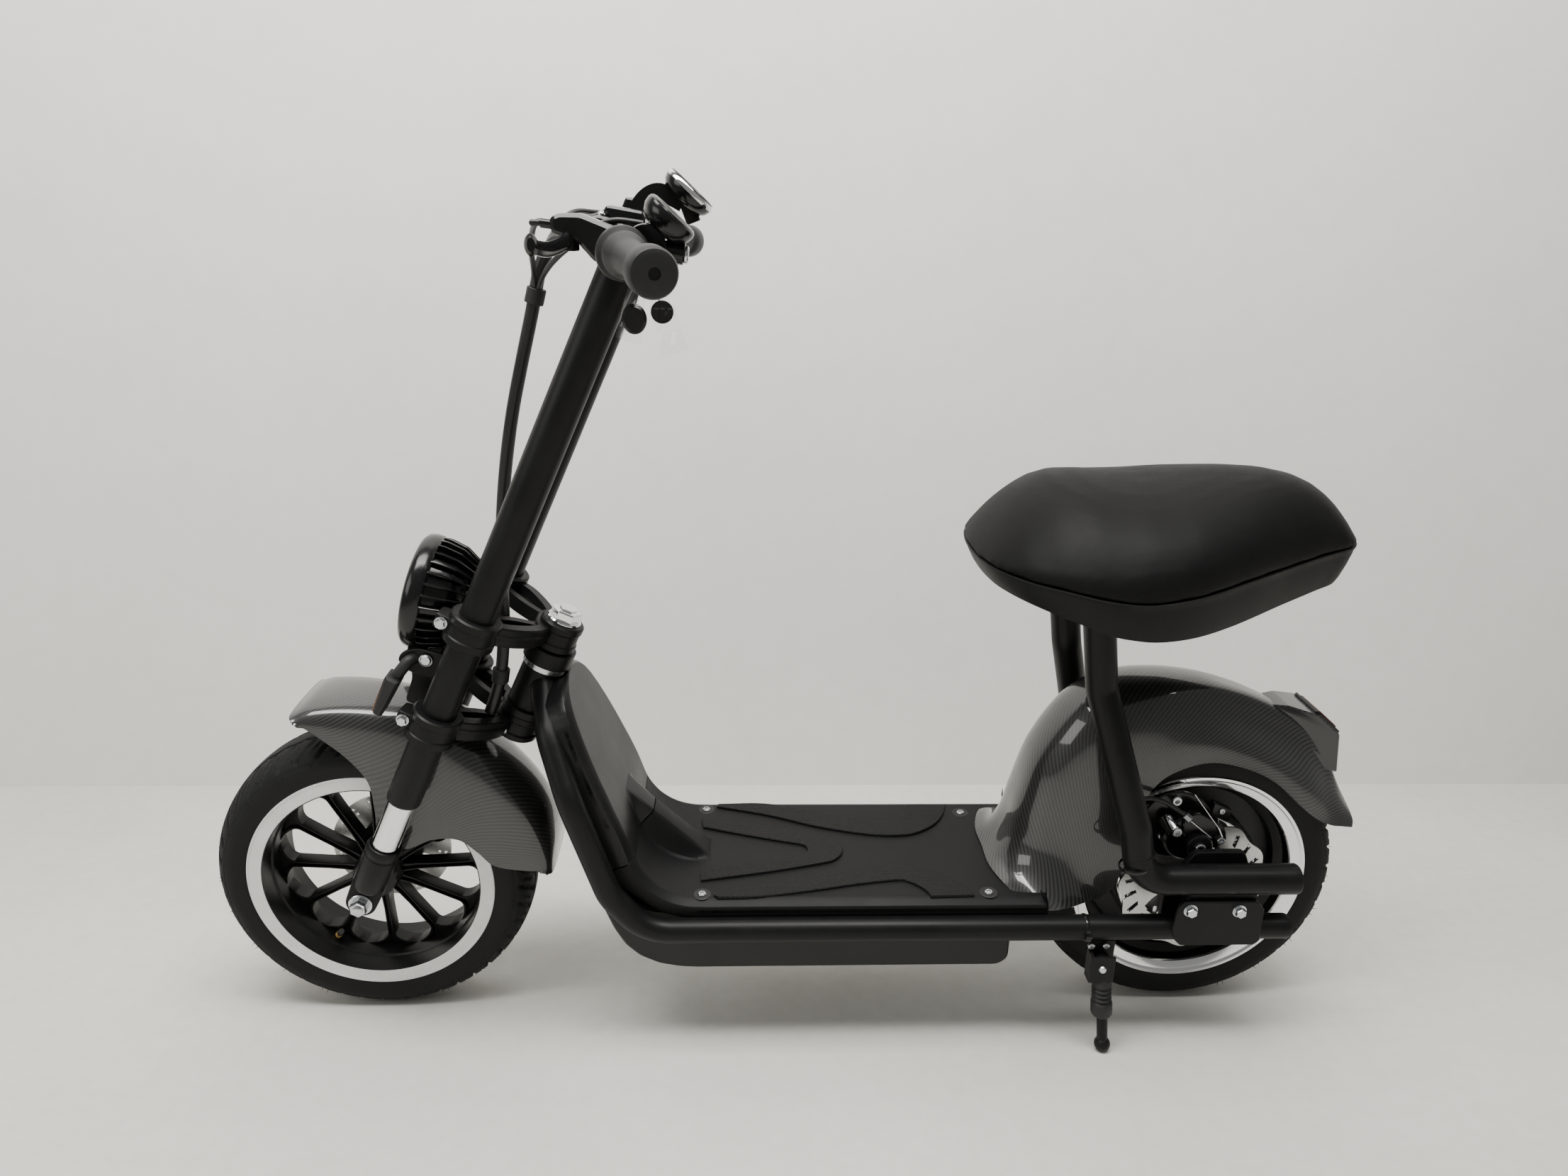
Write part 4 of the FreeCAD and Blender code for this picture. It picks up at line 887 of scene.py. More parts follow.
# %% Rear fender
REAR_STATIONS = [  # crown, upper side, shoulder, side, lower edge: each x, y, z
    [(-236, 0, 199), (-236, 38, 199), (-247, 76, 198), (-263, 96, 193), (-286, 104, 184)],
    [(-248, 0, 211), (-249, 35, 210), (-262, 66, 207), (-283, 88, 198), (-312, 99, 183)],
    [(-259, 0, 238), (-261, 33, 236), (-279, 60, 229), (-305, 77, 212), (-340, 84, 180)],
    [(-266, 0, 280), (-270, 32, 277), (-290, 57, 266), (-324, 68, 232), (-364, 70, 178)],
    [(-282, 0, 340), (-287, 32, 335), (-307, 55, 317), (-342, 64, 270), (-380, 66, 196)],
    [(-318, 0, 397), (-321, 32, 390), (-334, 53, 366), (-360, 62, 315), (-387, 64, 250)],
    [(-362, 0, 424), (-363, 32, 417), (-370, 53, 392), (-382, 62, 350), (-396, 64, 296)],
    [(-410, 0, 431), (-410, 31, 424), (-411, 51, 400), (-413, 61, 367), (-417, 64, 330)],
    [(-458, 0, 428), (-458, 27, 422), (-458, 44, 398), (-459, 60, 374), (-459, 64, 348)],
    [(-503, 0, 416), (-503, 23, 412), (-502, 36, 388), (-501, 58, 366), (-500, 64, 343)],
    [(-547, 0, 399), (-547, 21, 394), (-546, 32, 371), (-544, 56, 346), (-543, 63, 323)],
    [(-590, 0, 376), (-590, 21, 369), (-589, 32, 346), (-590, 54, 312), (-592, 62, 281)],
    [(-622, 0, 340), (-622, 21, 333), (-620, 33, 314), (-619, 51, 288), (-618, 60, 266)],
    [(-640, 0, 303), (-641, 22, 299), (-640, 36, 288), (-640, 50, 273), (-638, 58, 262)],
    [(-652, 0, 282), (-652, 23, 280), (-652, 37, 274), (-652, 49, 266), (-649, 56, 260)],
]
rear_shell = through(mirrored(REAR_STATIONS), 61, 120)
piece("rear_fender_shell", shell(rear_shell, 3.0), carbon_gloss, "frame", ["rear_fender"],
      crisp=50)

TAIL_BOX = [(-548, 396), (-566, 397), (-598, 389.5), (-627, 365), (-634, 316), (-612, 322), (-590, 352),
            (-560, 376)]
box_points, box_faces, box_pattern = plate(rounded(TAIL_BOX, 2.5, 3), -30, 30, side_view, 1.6)
box_points[:, 1] *= np.interp(box_points[:, 0], [-600, -548], [1, 0.5])
piece("tail_box", (box_points, box_faces, box_pattern), carbon_gloss, "frame")
slope = frame_of((-612.5, 0, 377.25), (-29, 0, -24.5), Y, (-24.5, 0, 29))
frame_outline = rounded([(-21, -27), (18, -28.5), (18, 28.5), (-21, 27)], 4, 4)
piece("tail_lamp_frame", plate(frame_outline, -1, 2.6, slope, 0.8), gloss_black, "frame")
piece("tail_lamp_lens", plate(rounded([(-17, -23), (14, -24), (14, 24), (-17, 23)], 5, 5), 2, 4.2, slope,
                              1.0), ruby, "frame", ["tail_lamp"])
print("rear fender faces", len(made["rear_fender_shell"].data.polygons))

# %% Front fender
FRONT_STATIONS = [  # crown ahead, crown along, edge ahead, edge along, on the fork's own axes
    (146, 171, 133, 171), (131, 187, 106, 164), (100, 204, 72, 152), (58, 219, 43, 133), (24, 226, 25, 101),
    (0, 227, 9, 68), (-24, 222, -20, 68), (-58, 210, -44, 92), (-95, 192, -70, 103), (-126, 174, -95, 96),
    (-152, 152, -118, 87), (-171, 127, -150, 94), (-183, 99, -173, 104)]
SHARE = np.array([0, 0.035, 0.15, 0.45, 1.0])
HALF = np.array([0, 27, 44.5, 52, 53.5])
crown_and_edge = np.array(FRONT_STATIONS, float)
crown, lower_edge = crown_and_edge[:, None, :2], crown_and_edge[:, None, 2:]
flank = crown + SHARE[:, None] * (lower_edge - crown)
half_sections = np.concatenate([flank, np.broadcast_to(HALF[None, :, None], flank.shape[:2] + (1,))], 2)
half_sections = half_sections[..., [0, 2, 1]]
front_shell = through(mirrored(half_sections), 61, 110)
piece("front_fender_shell", shell(fork_plan(front_shell), 3.0), carbon_gloss, "fork",
      ["front_fender"], crisp=50)

# %% [markdown]
# ## Fork
# Two long legs carry the front: a satin black sleeve, a bright stanchion, and a slider whose flat lower end
# holds the axle. Turned profiles make them, with the small steps, lips and seals that catch the light.
# The profile's height runs along the fork.

# %% Legs, stanchions, sliders
def leg_frame(side):
    """Local axes of one leg: ahead, left, up along the leg; the origin beside the axle."""
    return frame_of(FRONT_AXLE + Y * LEG_GAP * side, AHEAD, Y, UP_FORK)


for name, side in SIDES:
    at = leg_frame(side)
    sleeve = [(0, 141.5), (15.4, 141.5), (17.2, 141.5), (18.0, 142.5), (18.3, 145), (18.3, 744),
              (17.6, 748), (15.6, 750), (0, 750)]
    piece("fork_leg_sleeve_" + name, turned(sleeve, at, 56), satin_paint, "fork",
          ["fork_leg_" + name])
    tube = [(0, 80.5), (15, 80.5), (15, 141.2), (0, 141.2)]
    piece("fork_stanchion_" + name, turned(tube, at, 48), chrome, "fork", ["stanchion_" + name])
    cup = [(0, 20), (15, 20), (18.4, 26), (18.8, 60), (19, 66), (18.2, 67.2), (18.2, 69.2), (19, 70.4),
           (19, 77.4), (18.2, 79.4), (16.4, 80), (15.3, 79.2), (15.3, 76), (0, 76)]
    angle = np.linspace(np.pi, 2 * np.pi, 15)
    tongue = np.concatenate([np.column_stack([17 * np.cos(angle), 1 + 17 * np.sin(angle)]),
                             [(18, 26), (16, 44), (-16, 44), (-18, 26)]])
    flat = plate(tongue, side * LEG_GAP - 7, side * LEG_GAP + 7, fork_side, 1.2)
    piece("fork_slider_" + name, joined(turned(cup, at, 56), flat), satin_paint, "fork",
          ["slider_" + name])

# %% [markdown]
# The axle is a bolt with a flange washer and a nut at each end, and spacers keep the wheel between the
# legs. Nuts are six-sided turned profiles.

# %% Front axle
def nut(at, way, flats, high, washer=0.0):
    """A washer, a hexagonal nut with chamfered corners and the rounded end of the axle in it."""
    to = facing(at, way)
    parts = [turned([(0, 0), (washer, 0), (washer, 1.6), (washer - 0.8, 2.4), (0, 2.4)], to,
                    40)] if washer else []
    base = 2.4 if washer else 0
    top = base + high
    body = [(0, base), (flats * 0.95, base), (flats, base + 1), (flats, top - 1.4), (flats * 0.9, top),
            (flats * 0.62, top), (flats * 0.6, top - 0.6)]
    end = [(0, base), (flats * 0.6, base), (flats * 0.6, top + 1.6), (flats * 0.46, top + 2.6),
           (0, top + 2.8)]
    parts += [turned(body, to, 6), turned(end, to, 24)]
    return joined(*parts)


AXLE_REACH = LEG_GAP + 7
axle_parts = [rod(on_fork(0, 0, -AXLE_REACH), on_fork(0, 0, AXLE_REACH), 5.8)]
for side in (-1, 1):
    start = 41 if side < 0 else 34.6
    axle_parts.append(rod(on_fork(0, 0, side * start), on_fork(0, 0, side * 65.2), 10.5))
    axle_parts.append(nut(on_fork(0, 0, side * AXLE_REACH), side * Y, 9.6, 9, 13))
piece("front_axle_nuts", joined(*axle_parts), zinc, "fork", ["front_axle"])

# %% [markdown]
# ## Clamps
# Two cast clamps tie the legs to the steering stem. Each has a ring round either leg, with a lip, and an
# arm that curves back in a shallow bow to the stem's boss. A thin web joins the arms. Looking from the
# side, the arm is lower than the ring and carries a raised line along its middle. The arm is a section
# swept along a bowed path, which gives the curve and the line at once.

# %% Triple clamps
def clamp(bottom, top, boss_bottom, boss_top):
    """Rings and boss are turned; the arms are swept bands; webs are plates between them."""
    middle = (bottom + top) / 2
    tall = (top - bottom) / 2 - 5
    parts = []
    for side in (-1, 1):
        at = leg_frame(side)
        ring_profile = [(18.7, bottom), (24.6, bottom), (26.4, bottom + 1.6), (26.4, bottom + 9),
                        (25.2, bottom + 10.2), (25.2, top - 10.2), (26.4, top - 9), (26.4, top - 1.6),
                        (24.6, top), (18.7, top)]
        parts.append(ring(ring_profile, at, 56))
        path = smooth([(-16, 66, middle), (-36, 56, middle), (-56, 36, middle - 1), (-66, 19, middle - 1)],
                      26)
        path[:, 1] *= side
        band = [(-5.5, -tall), (4.5, -tall), (5.8, -tall + 1.5), (5.8, -2), (7.2, -0.6), (7.2, 2.2),
                (5.8, 3.4), (5.8, tall - 1.5), (4.5, tall), (-5.5, tall)]
        section = np.array(band) * (side, 1)
        parts.append(swept(fork_plan(path), section, UP_FORK))
        brace = smooth([(-4, 50, middle), (-14, 40, middle), (-34, 26, middle), (-60, 15, middle)], 22)
        brace[:, 1] *= side
        parts.append(swept(fork_plan(brace),
                           np.array([(-4, -tall + 3), (4, -tall + 3), (4, tall - 4), (-4, tall - 4)]),
                           UP_FORK))
        web = [(-18, 56), (-40, 50), (-58, 30), (-56, 18), (-32, 30), (-14, 44)]
        web = rounded([(a, b * side) for a, b in web], 5, 4)
        parts.append(plate(web, middle - 5, middle + 1, fork_plan, 1.0))
        ear = rounded([(20, 60), (36, 62), (38, 83), (20, 85)], 3, 3)
        parts.append(plate([(a, b * side) for a, b in ear], middle - 8, middle + 8, fork_plan, 1.2))
    boss = [(13, boss_bottom), (22, boss_bottom), (24, boss_bottom + 2), (24, middle - 8),
            (22.6, middle - 6), (22.6, middle + 6), (24, middle + 8), (24, boss_top - 2), (22, boss_top),
            (13, boss_top)]
    parts.append(ring(boss, stem_at, 56))
    bridge = rounded([(-58, -24), (-52, -10), (-52, 10), (-58, 24), (-70, 20), (-70, -20)], 4, 3)
    parts.append(plate(bridge, bottom + 6, top - 6, fork_plan, 1.2))
    return joined(*parts)


headset = [(23.2, 317), (24.4, 317.6), (24.4, 328), (23.4, 329), (25.6, 330), (26, 331), (26, 341),
           (24, 342.4), (23, 342.4)]
piece("headset_rings", ring(headset, stem_at, 56), zinc, "frame")
for name, low, high, boss_low in (("lower_clamp", 224.4, 257.6, 226), ("upper_clamp", 343.4, 375.6, 343.4)):
    piece(name + "_casting", clamp(low, high, boss_low, high), satin_paint, "fork", [name],
          crisp=30)

# %% Stem bolt and pinch bolts
stem_profile = [(0, 224.2), (12.3, 224.2), (12.3, 375.8), (19, 375.8), (19, 377.6), (18, 378.8),
                (12.4, 378.8)]
hexagon = [(0, 378.8), (15.6, 378.8), (16.6, 380), (16.6, 387.4), (15, 389), (9.6, 389), (9.2, 390.6),
           (0, 390.6)]
piece("steering_stem_bolt", joined(turned(stem_profile, stem_at, 48), turned(hexagon, stem_at, 6)), chrome,
      "fork", ["steering_stem"], crisp=25)
pinch = [bolt(on_fork(level, 30, side * 84.6), side * Y, 5.2, 6, "hex")
         for level in (241, 359.5) for side in (-1, 1)]
pinch += [bolt(on_fork(236, -66, side * 22), (0.35, side, 0), 4.6, 5, "hex") for side in (-1, 1)]
piece("clamp_pinch_bolts", joined(*pinch), zinc, "fork")

# %% [markdown]
# ## Headlamp and signals
# The headlamp is a shallow glossy bezel with a domed glass, in front of a housing whose back is ribbed
# with cooling fins. The fins are thin plates that stand round the housing like a basket. One fin is a
# curved outline in radius and depth, and the same plate is turned to every place.

# %% Headlamp
LAMP_TILT = math.radians(14)
lamp_way = np.array([math.cos(LAMP_TILT), 0, math.sin(LAMP_TILT)])
lamp_up = np.array([-math.sin(LAMP_TILT), 0, math.cos(LAMP_TILT)])
lamp_at = frame_of(on_fork(350, 43), lamp_up, Y, lamp_way)
FINS = 30
housing = [(0, -26), (34, -26), (42, -22), (50, -8), (54, 10), (55, 18), (0, 18)]
bezel = [(50, 14), (59, 14), (61.5, 17), (62.2, 24), (61, 30), (57.5, 33.6), (54, 34.6), (52.4, 33.2),
         (52.4, 24), (50, 22)]
glass = [(0, 38.5), (20, 37.7), (38, 35.2), (48, 32.6), (52.6, 30.5), (52.6, 29), (48, 30.8), (38, 33.2),
         (20, 35.5), (0, 36.3)]
fin = rounded([(34, -30), (44, -28), (56, -10), (60.5, 8), (60.8, 15.5), (52, 15.5), (40, -20), (33, -24)],
              2, 3)
fins = []
for turn in np.linspace(0, 2 * np.pi, FINS, endpoint=False):
    out = math.cos(turn) * lamp_up + math.sin(turn) * Y
    beside = np.cross(lamp_way, out)
    fins.append(plate(fin, -1.1, 1.1, frame_of(on_fork(350, 43), out, lamp_way, beside), 0.5))
piece("headlamp_housing", joined(turned(housing, lamp_at, 72), *fins), gloss_black, "fork",
      ["headlamp"])
piece("headlamp_bezel", ring(bezel, lamp_at, 96), gloss_black, "fork")

# %% [markdown]
# The lamp's inside is a bright bowl behind clear glass, seen only from the front. Glass needs a thickness,
# so its profile is a closed loop, and behind it stand a reflector and a small projector lens.

# %% Glass and reflector
bowl = [(52.6, 27), (50, 20), (40, 9), (24, 3), (17, 2), (17, 18.5), (23, 19), (44, 22), (52.6, 29)]
projector = [(0, 24), (9, 22.5), (14, 18), (17, 12), (17, 4), (0, 4)]
piece("headlamp_glass", turned(glass, lamp_at, 96), lamp_glass, "fork", ["headlamp_lens"])
piece("headlamp_reflector", ring(bowl, lamp_at, 72), chrome, "fork")
piece("headlamp_projector", turned(projector, lamp_at, 48), gloss_black, "fork")

# %% Bracket and turn signals
bracket_plate = rounded([(19, 232), (19, 262), (34, 286), (44, 322), (62, 326), (58, 292), (42, 262),
                         (40, 232)], 5, 4)
bracket_parts = [plate(bracket_plate, level, level + 4, fork_side, 0.8) for level in (-34, 30)]
bracket_parts.append(plate(rounded([(20, -50), (25, -50), (25, 50), (20, 50)], 1, 2), 278, 298, fork_plan,
                           0.8))
cheek = rounded([(413, 464), (410, 471), (404, 475), (396, 477), (388, 477), (366, 470), (378, 443),
                 (390, 447), (404, 452)], 3, 3)
for low, high in ((47, 52), (-52, -47)):
    bracket_parts.append(plate(cheek, low, high, side_view, 0.8))
piece("headlamp_bracket_plates", joined(*bracket_parts), satin_paint, "fork",
      ["headlamp_bracket"])
lamp_bolts = [bolt(on_fork(322, 52, 34), Y, 5, 4.5, "hex"), bolt(on_fork(322, 52, -34), -Y, 5, 4.5, "hex")]
lamp_bolts += [rod((383.7, side * 52, 465), (383.7, side * 55.4, 465), 7.0, 40, 2.4) for side in (-1, 1)]
piece("headlamp_bolts", joined(*lamp_bolts), zinc, "fork")

# %% [markdown]
# A signal is a flat wedge that hangs from a short thick rubber stalk. Its lens is the wedge's front edge.

# %% Turn signals
WEDGE = [(421, 455.5), (407, 447.5), (430.4, 407.8), (439.2, 412)]
LENS = [(422.6, 452), (419.6, 450.5), (436.4, 413.6), (440, 414.6)]
for name, side in SIDES:
    stalk = smooth([(396, side * 50, 466), (400, side * 56, 465.4), (406, side * 60, 459),
                    (414, side * 61, 449)], 24)
    piece("signal_stalk_" + name, swept(stalk, circle(6.2, 24), Y, True), soft_rubber, "fork",
          ["turn_signal_" + name])
    low, high = sorted((side * 49, side * 73))
    piece("signal_body_" + name, plate(rounded(WEDGE, 3, 4), low, high, side_view, 2.6), soft_rubber,
          "fork")
    piece("signal_lens_" + name, plate(rounded(LENS, 1, 3), low + 2.5, high - 2.5, side_view, 0.8), amber,
          "fork")

# %% [markdown]
# ## Frame
# The frame's tubes are already right in the CAD model, so they stay and only get their paint. What makes
# them look like a real frame is added on top: domed end caps, weld beads, the joining plates with their
# bolts, bands where a cable is tied to a tube, and nuts on the rear axle.

# %% Caps, welds and bands
TUBE_Y, TUBE_Z, REAR_TUBE_Z, TUBE_END = 110.0, 166.0, 229.0, -560.0


def collar(at, way, radius, thick=1.3, wide=2.6):
    """A weld bead or band: a small closed loop of section turned about the tube."""
    return ring(oval(thick, wide, 10, (radius, 0)), facing(at, way), 48)


extras = []
for side in (-1, 1):
    for level, radius in ((TUBE_Z, 14), (REAR_TUBE_Z, 17)):
        to = frame_of((TUBE_END, side * TUBE_Y, level), Z, Y, -X)
        extras.append(turned([(0, -6), (radius, -6), (radius, 0), (radius - 0.8, 1.6), (radius * 0.6, 3.2),
                              (0, 3.8)], to, 48))
    extras.append(collar((-381, side * 107, 259), (0.30, side * -0.18, 1), 17.0, 1.0, 1.6))
    extras.append(collar((274, side * 8, 424), (0.3, side * -1, 0.7), 14, 1.6, 2.4))
piece("frame_caps_and_welds", joined(*extras), satin_paint, "frame")

bands = [collar((-331, side * TUBE_Y, TUBE_Z), X, 14.2, 1.0, 2.0) for side in (-1, 1)]
tie = plate(rounded([(-3, -4), (3, -4), (3, 4), (-3, 4)], 1, 2), 0, 5,
            frame_of((-331, TUBE_Y + 14, TUBE_Z - 2), X, Z, Y), 0.8)
bands.append(tie)
bands.append(collar((-378, 108.5, 247), (0.2, -0.1, 1), 17.1, 1.0, 2.2))
piece("frame_cable_ties", joined(*bands), gloss_black, "frame")

# %% [markdown]
# The plates that join the two tubes at the rear are flat steel with clipped corners, each held by two
# domed bolts. Inside, a second plate carries the axle.

# %% Joining plates and axle nuts
plate_outline = [(-424, 175), (-428, 204), (-434, 210), (-514, 210), (-524, 200), (-526, 158), (-520, 152),
                 (-436, 152), (-428, 160)]
for name, side in SIDES:
    outer = plate(rounded(plate_outline, 2.5, 3), side * 120, side * 126, side_view, 1.2)
    block = plate([(-440, 172), (-440, 222), (-516, 222), (-516, 172)], side * 98, side * 120, side_view,
                  0.8)
    inner_outline = rounded([(-424, 150), (-424, 206), (-452, 252), (-508, 252), (-528, 206), (-528, 150)],
                            6, 4)
    inner = plate(inner_outline, side * 84.8, side * 92.8, side_view, 1.0)
    piece("joining_plate_" + name, joined(outer, block, inner), satin_paint, "frame",
          ["axle_plate_" + name])
joint_bolts = [bolt((x, side * 126, z), side * Y, 6.2, 6.5, "hex")
               for side in (-1, 1) for x, z in ((-440, 200), (-495, 199))]
piece("joining_bolts", joined(*joint_bolts), zinc, "frame")
axle = [rod(REAR_AXLE - 101 * Y, REAR_AXLE + 101 * Y, 7.8)]
for side in (-1, 1):
    start = 55 if side > 0 else 50.6
    axle.append(rod(REAR_AXLE + side * start * Y, REAR_AXLE + side * 84.6 * Y, 12.5))
    axle.append(nut(REAR_AXLE + side * 92.9 * Y, side * Y, 11, 9, 14))
piece("rear_axle_nuts", joined(*axle), zinc, "frame", ["rear_axle"])

# %% [markdown]
# ## Footboard, leg shield and battery box
# Footboard and leg shield are two mouldings that make one surface: flat underfoot, then a curve upwards,
# then a straight slope to the steering head, narrower towards its round top. So one function gives both,
# and a gap of a millimetre parts them. It carries a cross-section along the side view's profile. The
# section has a turned-down skirt, a bevelled rim and a flat middle, each lifted by so much along the
# profile's normal.

# %% One surface for footboard and leg shield
DECK_TOP = 197.0
SEAM_AT = 245.0
PROFILE = [(-284, 197), (-283, 197), (-200, 197), (-100, 197), (0, 197), (60, 197), (96, 197), (116, 198.5),
           (134, 204.5), (150, 215.5), (162, 230), (170.5, 246), (181, 277), (192.2, 305), (214.4, 359),
           (232, 402), (239, 419), (243.5, 431)]
HALF_WIDTH = [(0, 104.5), (197, 104.5), (215, 102), (250, 96.5), (300, 95), (340, 90), (359, 86), (382, 79),
              (399, 71.5), (411, 63), (420, 52), (427, 38), (431, 20)]
RIM = np.array([(1.5, -18), (0, -13), (0, -6.5), (0.8, -5.2), (5.4, -2.6), (10.4, -0.2), (11.4, 0),
                (13, 0)])
profile = smooth(PROFILE, 400)
profile_arc = np.concatenate([[0], np.cumsum(np.linalg.norm(np.diff(profile, axis=0), axis=1))])
seam_arc = np.interp(SEAM_AT, profile[:, 1], profile_arc)


def shield_points(arc, inner=0.0):
    """The surface at the given lengths along the profile, or the same a little inside it. From rim to rim:
    the left rim's points, seven across the middle, and the right rim's."""
    x, z = (np.interp(arc, profile_arc, profile[:, k]) for k in (0, 1))
    way = np.stack([np.gradient(x, arc), np.gradient(z, arc)], 1)
    way /= np.linalg.norm(way, axis=1)[:, None]
    half = np.interp(z, *np.array(HALF_WIDTH).T)
    middle = np.linspace(-1, 1, 9)[1:-1, None] * (half - 13)
    across = np.concatenate([RIM[:, :1] - half, middle, half - RIM[::-1, :1]])
    lift = np.concatenate([RIM[:, 1], np.zeros(7), RIM[::-1, 1]])[:, None] - inner + 0 * half
    lift[[0, -1]] -= np.interp(z, [215, 262, 400, 430], [0, 17, 17, 4])
    return np.stack([x - way[:, 1] * lift, across, z + way[:, 0] * lift], 2).transpose(1, 0, 2)


def moulding(low, high, count, wall=2.6):
    """The part of that surface between two lengths along the profile, with its wall."""
    arc = np.linspace(low, high, count)
    return walled(shield_points(arc), shield_points(arc, wall))


# %% [markdown]
# Where the curve is, a straight ridge 30 mm wide bridges it like a fillet: flat on top with bevelled
# edges, and steep sides that run out on the curve. At each step u from its upper end to its nose, one
# point S lies on the ridge and one point F on the profile, and the section goes from S to F.

# %% The ridge in the curve
RIDGE = [(193.5, 297), (154.5, 258.5), (90, 198)]
RIDGE_SECTION = np.array([(0, 0), (11.5, 0), (12.6, 0.012), (15, 0.075), (16.2, 0.13), (18.4, 0.44),
                          (20.4, 0.72), (22.6, 0.90), (25.4, 0.985), (28, 1.03)])


def ridge_part(low, high, count):
    """Rows between two steps of the ridge, mirrored: y from the section, place = S + share (F - S)."""
    u = np.linspace(low, high, count)
    spine = np.stack([np.interp(u, [0, 0.37, 1], [point[k] for point in RIDGE]) for k in (0, 1)], 1)
    ends = [np.interp(299.0, profile[:, 1], profile_arc), seam_arc,
            np.interp(88.0, profile[:200, 0], profile_arc[:200])]
    arc = np.interp(u, [0, 0.37, 1], ends)
    foot = np.stack([np.interp(arc, profile_arc, profile[:, k]) for k in (0, 1)], 1)
    flat = spine[:, None] + RIDGE_SECTION[None, :, 1:] * (foot - spine)[:, None]
    half = np.stack([flat[..., 0], np.broadcast_to(RIDGE_SECTION[:, 0], flat.shape[:2]), flat[..., 1]], 2)
    return grid(mirrored(half))


gap = 0.55
piece("footboard_tray", joined(moulding(0, seam_arc - gap, 90), ridge_part(0.375, 1, 60)), deck_plastic,
      "frame", ["footboard"], crisp=24)
piece("leg_shield_panel", joined(moulding(seam_arc + gap, profile_arc[-1], 70), ridge_part(0, 0.365, 36)),
      shield_plastic, "frame", ["leg_shield"], crisp=24)

# %% Battery box
BOX = [(-256, 176), (-256, 106), (-252, 100), (-244, 95), (104, 95), (122, 96), (146, 101), (168, 112),
       (184, 128), (196, 150), (206, 176), (216, 206), (226, 240), (206, 244), (192, 214), (170, 184),
       (150, 176)]
piece("battery_box_shell", plate(rounded(BOX, 5, 3), -88, 88, side_view, 3.0), carbon_matt, "frame",
      ["battery_box"])

# %% [markdown]
# ## Deck pads and screws
# Three raised rubber strips and four countersunk screws lie on the footboard. A strip runs between two
# smooth lines: its section goes up 3 mm from one line, across, and down at the other, with broken edges.

# %% Pads and screws
PAD_LINES = [[[(82, -93), (26, -94), (-19, -81), (-75, -63), (-106, -56), (-128, -54), (-143, -61),
               (-152, -74), (-157, -90)], [(84, -87), (20, -67), (-41, -41), (-102, -24), (-142, -22),
                                           (-165, -29), (-187, -46), (-201, -68), (-208, -88)]],
             [[(102, -59), (52, -50), (5, -39), (-28, -27), (-52, -16), (-66, -1), (-66, 14), (-57, 27),
               (-42, 34), (23, 51), (99, 66)],
              [(100, -41), (52, -25), (6, -11), (-18, -4), (-25, 4), (-23, 14), (-10, 21), (23, 29),
               (67, 40), (100, 48)]],
             [[(79, 97), (29, 95), (-33, 84), (-79, 74), (-124, 67), (-137, 70), (-149, 80), (-155, 89),
               (-158, 97)], [(84, 93), (29, 73), (-35, 54), (-83, 43), (-118, 39), (-153, 43), (-180, 58),
                             (-200, 79), (-207, 96)]]]


def raised_strip(one, other, high=3.0, edge=0.9):
    """At each step a section of six points: one line's foot and shoulder, the top, the other line's."""
    one, other = smooth(one, 60), smooth(other, 60)
    across = edge * (other - one) / np.linalg.norm(other - one, axis=1)[:, None]
    flat = [one, one, one + across, other - across, other, other]
    rise = [-0.5, high - edge, high, high, high - edge, -0.5]
    rows = [np.column_stack([line, np.full(60, DECK_TOP + up)]) for line, up in zip(flat, rise)]
    return grid(np.array(rows).transpose(1, 0, 2), (False, True), True)


piece("deck_pad_strips", joined(*[raised_strip(*lines) for lines in PAD_LINES]), pad_rubber, "frame",
      ["deck_pads"], crisp=28)
SCREW_PLACES = ((97, -84), (-225, -75), (97, 88), (-225, 88))
deck_screws, recesses = [], []
for x, y in SCREW_PLACES:
    deck_screws.append(bolt((x, y, DECK_TOP + 0.3), Z, 4.6, 1.4))
    recesses.append(turned([(0, 0.3), (8.2, 0.3), (9.2, 0.5), (10.2, 0)],
                           frame_of((x, y, DECK_TOP), X, Y, Z), 40))
piece("deck_screw_recesses", joined(*recesses), soft_rubber, "frame")
piece("deck_screws", joined(*deck_screws), zinc, "frame")

# %% [markdown]
# ## Saddle
# The saddle is a foam pad under black vinyl on a moulded base. From above it is blunt in front, widest a
# third of the way back, and tapers to the tail. Its top has a crest in front, a shallow dish and a lower
# hump behind, and it slopes to soft shoulders. The foam is drawn as rings of the outline that shrink as
# they rise, over a height that is a function of the place. The seam dips where the saddle is widest.

# %% Saddle outline, seam and top
SEAT_HALF_PLAN = [(-188, 0), (-191, 40), (-200, 72), (-222, 104), (-252, 128), (-290, 145), (-335, 151),
                  (-385, 143), (-440, 118), (-500, 86), (-555, 59), (-585, 43), (-601, 21), (-605, 0)]
SEAT_TOP_LINE = [(-606, 602), (-597, 612), (-585, 625), (-568, 641), (-545, 655), (-518, 664), (-497, 667),
                 (-468, 668), (-445, 667), (-405, 664.5), (-374, 661.5), (-343, 660), (-320, 660),
                 (-297, 661), (-283, 661), (-268, 658), (-254, 652), (-233, 638), (-209, 615), (-196, 600),
                 (-188, 589)]
SEAT_SHOULDER_DROP = [(-606, 4), (-540, 18), (-500, 26), (-433, 27), (-357, 31), (-290, 38), (-250, 32),
                      (-215, 16), (-188, 3)]
SEAT_SEAM = [(-606, 594), (-572, 593), (-541, 591), (-504, 587), (-450, 582), (-401, 576), (-358, 571),
             (-330, 569), (-294, 571), (-260, 575), (-220, 577), (-188, 579)]
